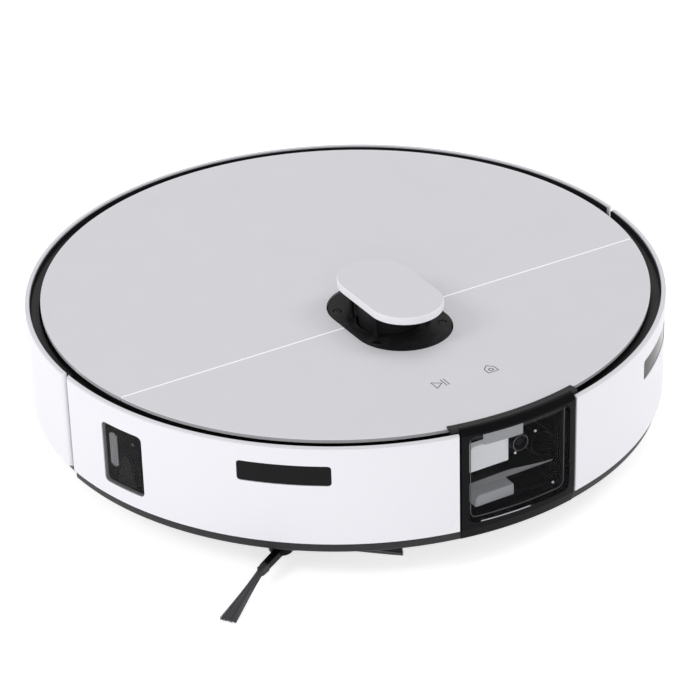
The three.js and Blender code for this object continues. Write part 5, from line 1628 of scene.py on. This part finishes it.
def side_brush():
    """The hub with three curved arms, each holding a flared tuft of bristles."""
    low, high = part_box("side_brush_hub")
    x, y = SIDE_BRUSH.x, SIDE_BRUSH.y
    hub = turned([
        (0, 5 * MM), (4.4 * MM, 5 * MM), (6 * MM, 5.6 * MM), (6.6 * MM, 6.6 * MM), (6.6 * MM, 9.2 * MM),
        (6.2 * MM, 9.6 * MM),
        (3 * MM, 9.6 * MM), (3 * MM, high.z), (0, high.z),
    ], x, y, 64)
    arms = []
    turns = []
    for name in TUFTS:
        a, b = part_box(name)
        middle = (a + b) / 2
        turns.append(math.atan2(middle.y - y, middle.x - x))
    for turn in turns:
        outline = filleted([(4 * MM, -2.9 * MM), (22 * MM, -1.8 * MM), (22 * MM, 1.8 * MM),
                            (4 * MM, 2.9 * MM)], 0.8 * MM)
        arm = plate(outline, 5.3 * MM, 9.1 * MM)
        arms.append(moved(softened(arm, 0.8 * MM, 3, 50),
                          Matrix.Translation((x, y, 0)) @ Matrix.Rotation(turn, 4, "Z")))
    piece("side_brush_hub_fine", joined([softened(hub, 0.2 * MM, 2, 60), *arms]),
          satin_black(), "side_brush",
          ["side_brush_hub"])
    screw = screw_head(x, y, 5.2 * MM, -1)
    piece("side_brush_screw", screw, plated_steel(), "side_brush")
    draw = random.Random(SEED + 1)
    for name, turn in zip(TUFTS, turns):
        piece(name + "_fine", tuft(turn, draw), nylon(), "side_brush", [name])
        sleeve = plate(filleted([(18 * MM, -2.5 * MM), (25 * MM, -1.7 * MM), (25 * MM, 1.7 * MM),
                                 (18 * MM, 2.5 * MM)],
                                0.8 * MM), 5.1 * MM, 9.3 * MM)
        sleeve = moved(softened(sleeve, 0.9 * MM, 3, 50),
                       Matrix.Translation((x, y, 0)) @ Matrix.Rotation(turn, 4, "Z"))
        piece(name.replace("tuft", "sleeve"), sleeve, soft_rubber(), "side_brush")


def tuft(turn, draw):
    """One flared bundle of bristles from an arm's end down to the floor."""
    strands = []
    out = Vector((math.cos(turn), math.sin(turn), 0))
    side = Vector((-math.sin(turn), math.cos(turn), 0))
    up = Vector((0, 0, 1))
    hub = Vector((SIDE_BRUSH.x, SIDE_BRUSH.y, 0))
    for _ in range(sizes().bristles):
        across = draw.uniform(-1, 1)
        layer = draw.uniform(-1, 1)
        reach = 62.5 * MM - draw.uniform(0, 0.8) * MM
        points = []
        for k in range(7):
            t = k / 6
            r = 22.5 * MM + (reach - 22.5 * MM) * t
            spread = (1.2 * MM + 3.4 * MM * t**1.5) * across
            height = 7.2 * MM * (1 - t) ** 1.15 + 1.6 * MM * t + layer * (1.5 * MM * (1 - t) + 0.7 * MM * t)
            points.append(hub + out * r + side * spread + up * max(height, 0.5 * MM))
        strands.append(tube(points, sizes().bristle, 5, [1, 1, 1, 1, 0.95, 0.9, 0.8]))
    return joined(strands)


# ---- Inside ------------------------------------------------------------------------------------


def inside_finishes():
    """Finishes for the pieces that only show when the robot is open."""
    board = moulding("Solder Mask", (0.012, 0.09, 0.04), 0.35, grain=1200.0, depth=0.06, mottle=0.25)
    wrap = moulding("Cell Wrap", (0.03, 0.07, 0.17), 0.35, grain=500.0, depth=0.05, mottle=0.1)
    for node in ("lidar_bracket", "brush_gearbox", "side_brush_gearbox", "fan_housing"):
        dressed(node, charcoal())
    for node in ("lidar_motor", "brush_motor"):
        dressed(node, plated_steel())
    for node in ("brush_bearing_left", "brush_bearing_right", "lidar_motor_pulley"):
        dressed(node, grey_moulding())
    # The impeller takes the pale white with its faint painted glow.
    dressed("fan_impeller", pale_painted_glow())
    dressed("lidar_belt", soft_rubber())
    dressed("main_board", board)
    dressed("battery", wrap)


# ---- Stage -------------------------------------------------------------------------------------

CAMERA_AZIMUTH = -30.0
CAMERA_ELEVATION = 30.3955
CAMERA_DISTANCE = 1.59813
CAMERA_LENS = 146.825
CAMERA_AIM_Z = 8.585 * MM
CAMERA_PAN = -0.06324
CAMERA_TILT = 0.81466
CAMERA_ROLL = -1.61166


def camera():
    """The camera at the robot's front right, above it."""
    data = bpy.data.cameras.new("view")
    data.lens = CAMERA_LENS
    data.sensor_width = 36.0
    data.clip_start = 0.05
    data.clip_end = 50.0
    obj = bpy.data.objects.new("view", data)
    bpy.context.scene.collection.objects.link(obj)
    lift = math.radians(CAMERA_ELEVATION)
    right = Vector((1, 0, 0))
    up = Vector((0, math.sin(lift), math.cos(lift)))
    ahead = Vector((0, math.cos(lift), -math.sin(lift)))
    pan, tilt, roll = (math.radians(v) for v in (CAMERA_PAN, CAMERA_TILT, CAMERA_ROLL))
    side = right * math.cos(pan) + ahead * math.sin(pan)
    depth = -right * math.sin(pan) + ahead * math.cos(pan)
    rise = up * math.cos(tilt) - depth * math.sin(tilt)
    depth = up * math.sin(tilt) + depth * math.cos(tilt)
    across = side * math.cos(roll) + rise * math.sin(roll)
    above = rise * math.cos(roll) - side * math.sin(roll)
    turn = Matrix((across, above, -depth)).transposed().to_4x4()
    place = Vector((0, 0, CAMERA_AIM_Z)) - ahead_of(lift) * CAMERA_DISTANCE
    obj.matrix_world = Matrix.Rotation(math.radians(CAMERA_AZIMUTH), 4,
                                       "Z") @ Matrix.Translation(place) @ turn
    bpy.context.scene.camera = obj


def ahead_of(lift):
    """The direction from the camera to its aim before it is turned round the robot."""
    return Vector((0, math.cos(lift), -math.sin(lift)))


def softbox(name, azimuth, elevation, distance, size, power, tint=(1.0, 1.0, 1.0)):
    """A large soft light that looks at the robot."""
    data = bpy.data.lights.new(name, "AREA")
    data.shape = "RECTANGLE"
    data.size, data.size_y = size
    data.energy = power
    data.color = tint
    obj = bpy.data.objects.new(name, data)
    bpy.context.scene.collection.objects.link(obj)
    a, e = math.radians(azimuth), math.radians(elevation)
    place = Vector((math.sin(a) * math.cos(e), -math.cos(a) * math.cos(e), math.sin(e))) * distance
    obj.location = place
    obj.rotation_euler = (Vector((0, 0, 0.05)) - place).to_track_quat("-Z", "Y").to_euler()
    return obj


def floor():
    """A plain pale floor."""
    half = 6.0
    mesh = bpy.data.meshes.new("floor")
    mesh.from_pydata([(-half, -half, 0), (half, -half, 0), (half, half, 0), (-half, half, 0)],
                     [], [(0, 1, 2, 3)])
    obj = bpy.data.objects.new("floor", mesh)
    bpy.context.scene.collection.objects.link(obj)
    obj.data.materials.append(moulding("Pale Floor", (0.93, 0.93, 0.93), 0.9, grain=400.0, depth=0.01,
                                       mottle=0.004, wear=0.0,
                                       Emission_Color=(1.0, 1.0, 1.0, 1.0), Emission_Strength=0.66))


def world():
    """An even white surround."""
    surround = bpy.data.worlds.new("surround")
    surround.use_nodes = True
    back = surround.node_tree.nodes["Background"]
    back.inputs["Color"].default_value = (1.0, 1.0, 1.0, 1.0)
    back.inputs["Strength"].default_value = 0.43
    bpy.context.scene.world = surround


def stage():
    """The floor, the lights, the surround and the camera."""
    floor()
    world()
    softbox("overhead", 150, 62, 1.7, (1.6, 1.2), 7.0)
    softbox("front_fill", -30, 22, 2.2, (1.8, 1.0), 6.5)
    softbox("left_side", -100, 38, 1.8, (0.6, 0.6), 5.5)
    softbox("right_side", 80, 42, 1.8, (0.6, 0.6), 4.0)
    bpy.context.scene.view_settings.view_transform = "Standard"
    camera()


# ---- Operators and panel -----------------------------------------------------------------------


class RobotOperator:
    """Runs one maker and reports that it finished."""

    bl_options = {"REGISTER", "UNDO"}
    makers = ()

    def execute(self, context):
        for maker in self.makers:
            maker()
        return {"FINISHED"}


class ROBOT_OT_stage(RobotOperator, bpy.types.Operator):
    """Make the floor, lights, surround and camera"""

    bl_idname = "robot.make_stage"
    bl_label = "Stage"
    makers = (stage,)


class ROBOT_OT_sides(RobotOperator, bpy.types.Operator):
    """Make the white bumper halves and the white rear side"""

    bl_idname = "robot.make_sides"
    bl_label = "White Sides"
    makers = (lambda: bumper_panel(-1), lambda: bumper_panel(1), rear_side)


class ROBOT_OT_deck(RobotOperator, bpy.types.Operator):
    """Make the deck, the lid and the printed icons"""

    bl_idname = "robot.make_deck"
    bl_label = "Deck and Lid"
    makers = (deck_pieces,)


class ROBOT_OT_bumper(RobotOperator, bpy.types.Operator):
    """Make the bumper's black skin, front module and visor"""

    bl_idname = "robot.make_bumper"
    bl_label = "Bumper Frame"
    makers = (bumper_skin, front_module)


class ROBOT_OT_windows(RobotOperator, bpy.types.Operator):
    """Make the infrared and wall sensor windows"""

    bl_idname = "robot.make_windows"
    bl_label = "Sensor Windows"
    makers = (sensor_windows,)


class ROBOT_OT_optics(RobotOperator, bpy.types.Operator):
    """Make the front window, camera and lights"""

    bl_idname = "robot.make_optics"
    bl_label = "Front Optics"
    makers = (front_optics,)


class ROBOT_OT_turret(RobotOperator, bpy.types.Operator):
    """Make the laser turret"""

    bl_idname = "robot.make_turret"
    bl_label = "Laser Turret"
    makers = (turret_pieces,)


class ROBOT_OT_frame(RobotOperator, bpy.types.Operator):
    """Make the inner frame, inner deck and dust bin"""

    bl_idname = "robot.make_frame"
    bl_label = "Inner Frame and Bin"
    makers = (frame_walls, inner_deck, dust_bin)


class ROBOT_OT_underside(RobotOperator, bpy.types.Operator):
    """Make the base, brush guard and charging pads"""

    bl_idname = "robot.make_underside"
    bl_label = "Underside"
    makers = (chassis, guard_and_contacts, brush_chamber)


class ROBOT_OT_wheels(RobotOperator, bpy.types.Operator):
    """Make the drive wheels and the caster"""

    bl_idname = "robot.make_wheels"
    bl_label = "Wheels and Caster"
    makers = (wheel_pieces, caster)


class ROBOT_OT_roller(RobotOperator, bpy.types.Operator):
    """Make the roller"""

    bl_idname = "robot.make_roller"
    bl_label = "Roller"
    makers = (roller,)


class ROBOT_OT_side_brush(RobotOperator, bpy.types.Operator):
    """Make the side brush"""

    bl_idname = "robot.make_side_brush"
    bl_label = "Side Brush"
    makers = (side_brush,)


class ROBOT_OT_inside(RobotOperator, bpy.types.Operator):
    """Finish the pieces inside"""

    bl_idname = "robot.finish_inside"
    bl_label = "Inside Finishes"
    makers = (inside_finishes,)


OPERATORS = (
    ROBOT_OT_stage, ROBOT_OT_sides, ROBOT_OT_deck, ROBOT_OT_bumper, ROBOT_OT_windows, ROBOT_OT_optics,
    ROBOT_OT_turret, ROBOT_OT_frame, ROBOT_OT_underside, ROBOT_OT_wheels, ROBOT_OT_roller,
    ROBOT_OT_side_brush, ROBOT_OT_inside,
)


class ROBOT_PT_parts(bpy.types.Panel):
    """Lists the robot's makers"""

    bl_label = "Robot Vacuum"
    bl_idname = "ROBOT_PT_parts"
    bl_space_type = "VIEW_3D"
    bl_region_type = "UI"
    bl_category = "Robot Vacuum"

    def draw(self, context):
        for operator in OPERATORS:
            self.layout.operator(operator.bl_idname)
        for group in (context.scene.robot_sizes, context.scene.robot_colours):
            for name in group.bl_rna.properties.keys():
                if name not in {"rna_type", "name"}:
                    self.layout.prop(group, name)


CLASSES = (RobotSizes, RobotColours, *OPERATORS, ROBOT_PT_parts)


def register():
    """Registers the properties, operators and panel."""
    for each in CLASSES:
        bpy.utils.register_class(each)
    bpy.types.Scene.robot_sizes = bpy.props.PointerProperty(type=RobotSizes)
    bpy.types.Scene.robot_colours = bpy.props.PointerProperty(type=RobotColours)


def unregister():
    """Removes what register added."""
    del bpy.types.Scene.robot_colours
    del bpy.types.Scene.robot_sizes
    for each in reversed(CLASSES):
        bpy.utils.unregister_class(each)


def main():
    """Registers the add-on and makes every piece."""
    register()
    for operator in OPERATORS:
        family, name = operator.bl_idname.split(".")
        getattr(getattr(bpy.ops, family), name)()


if __name__ == "__main__":
    main()
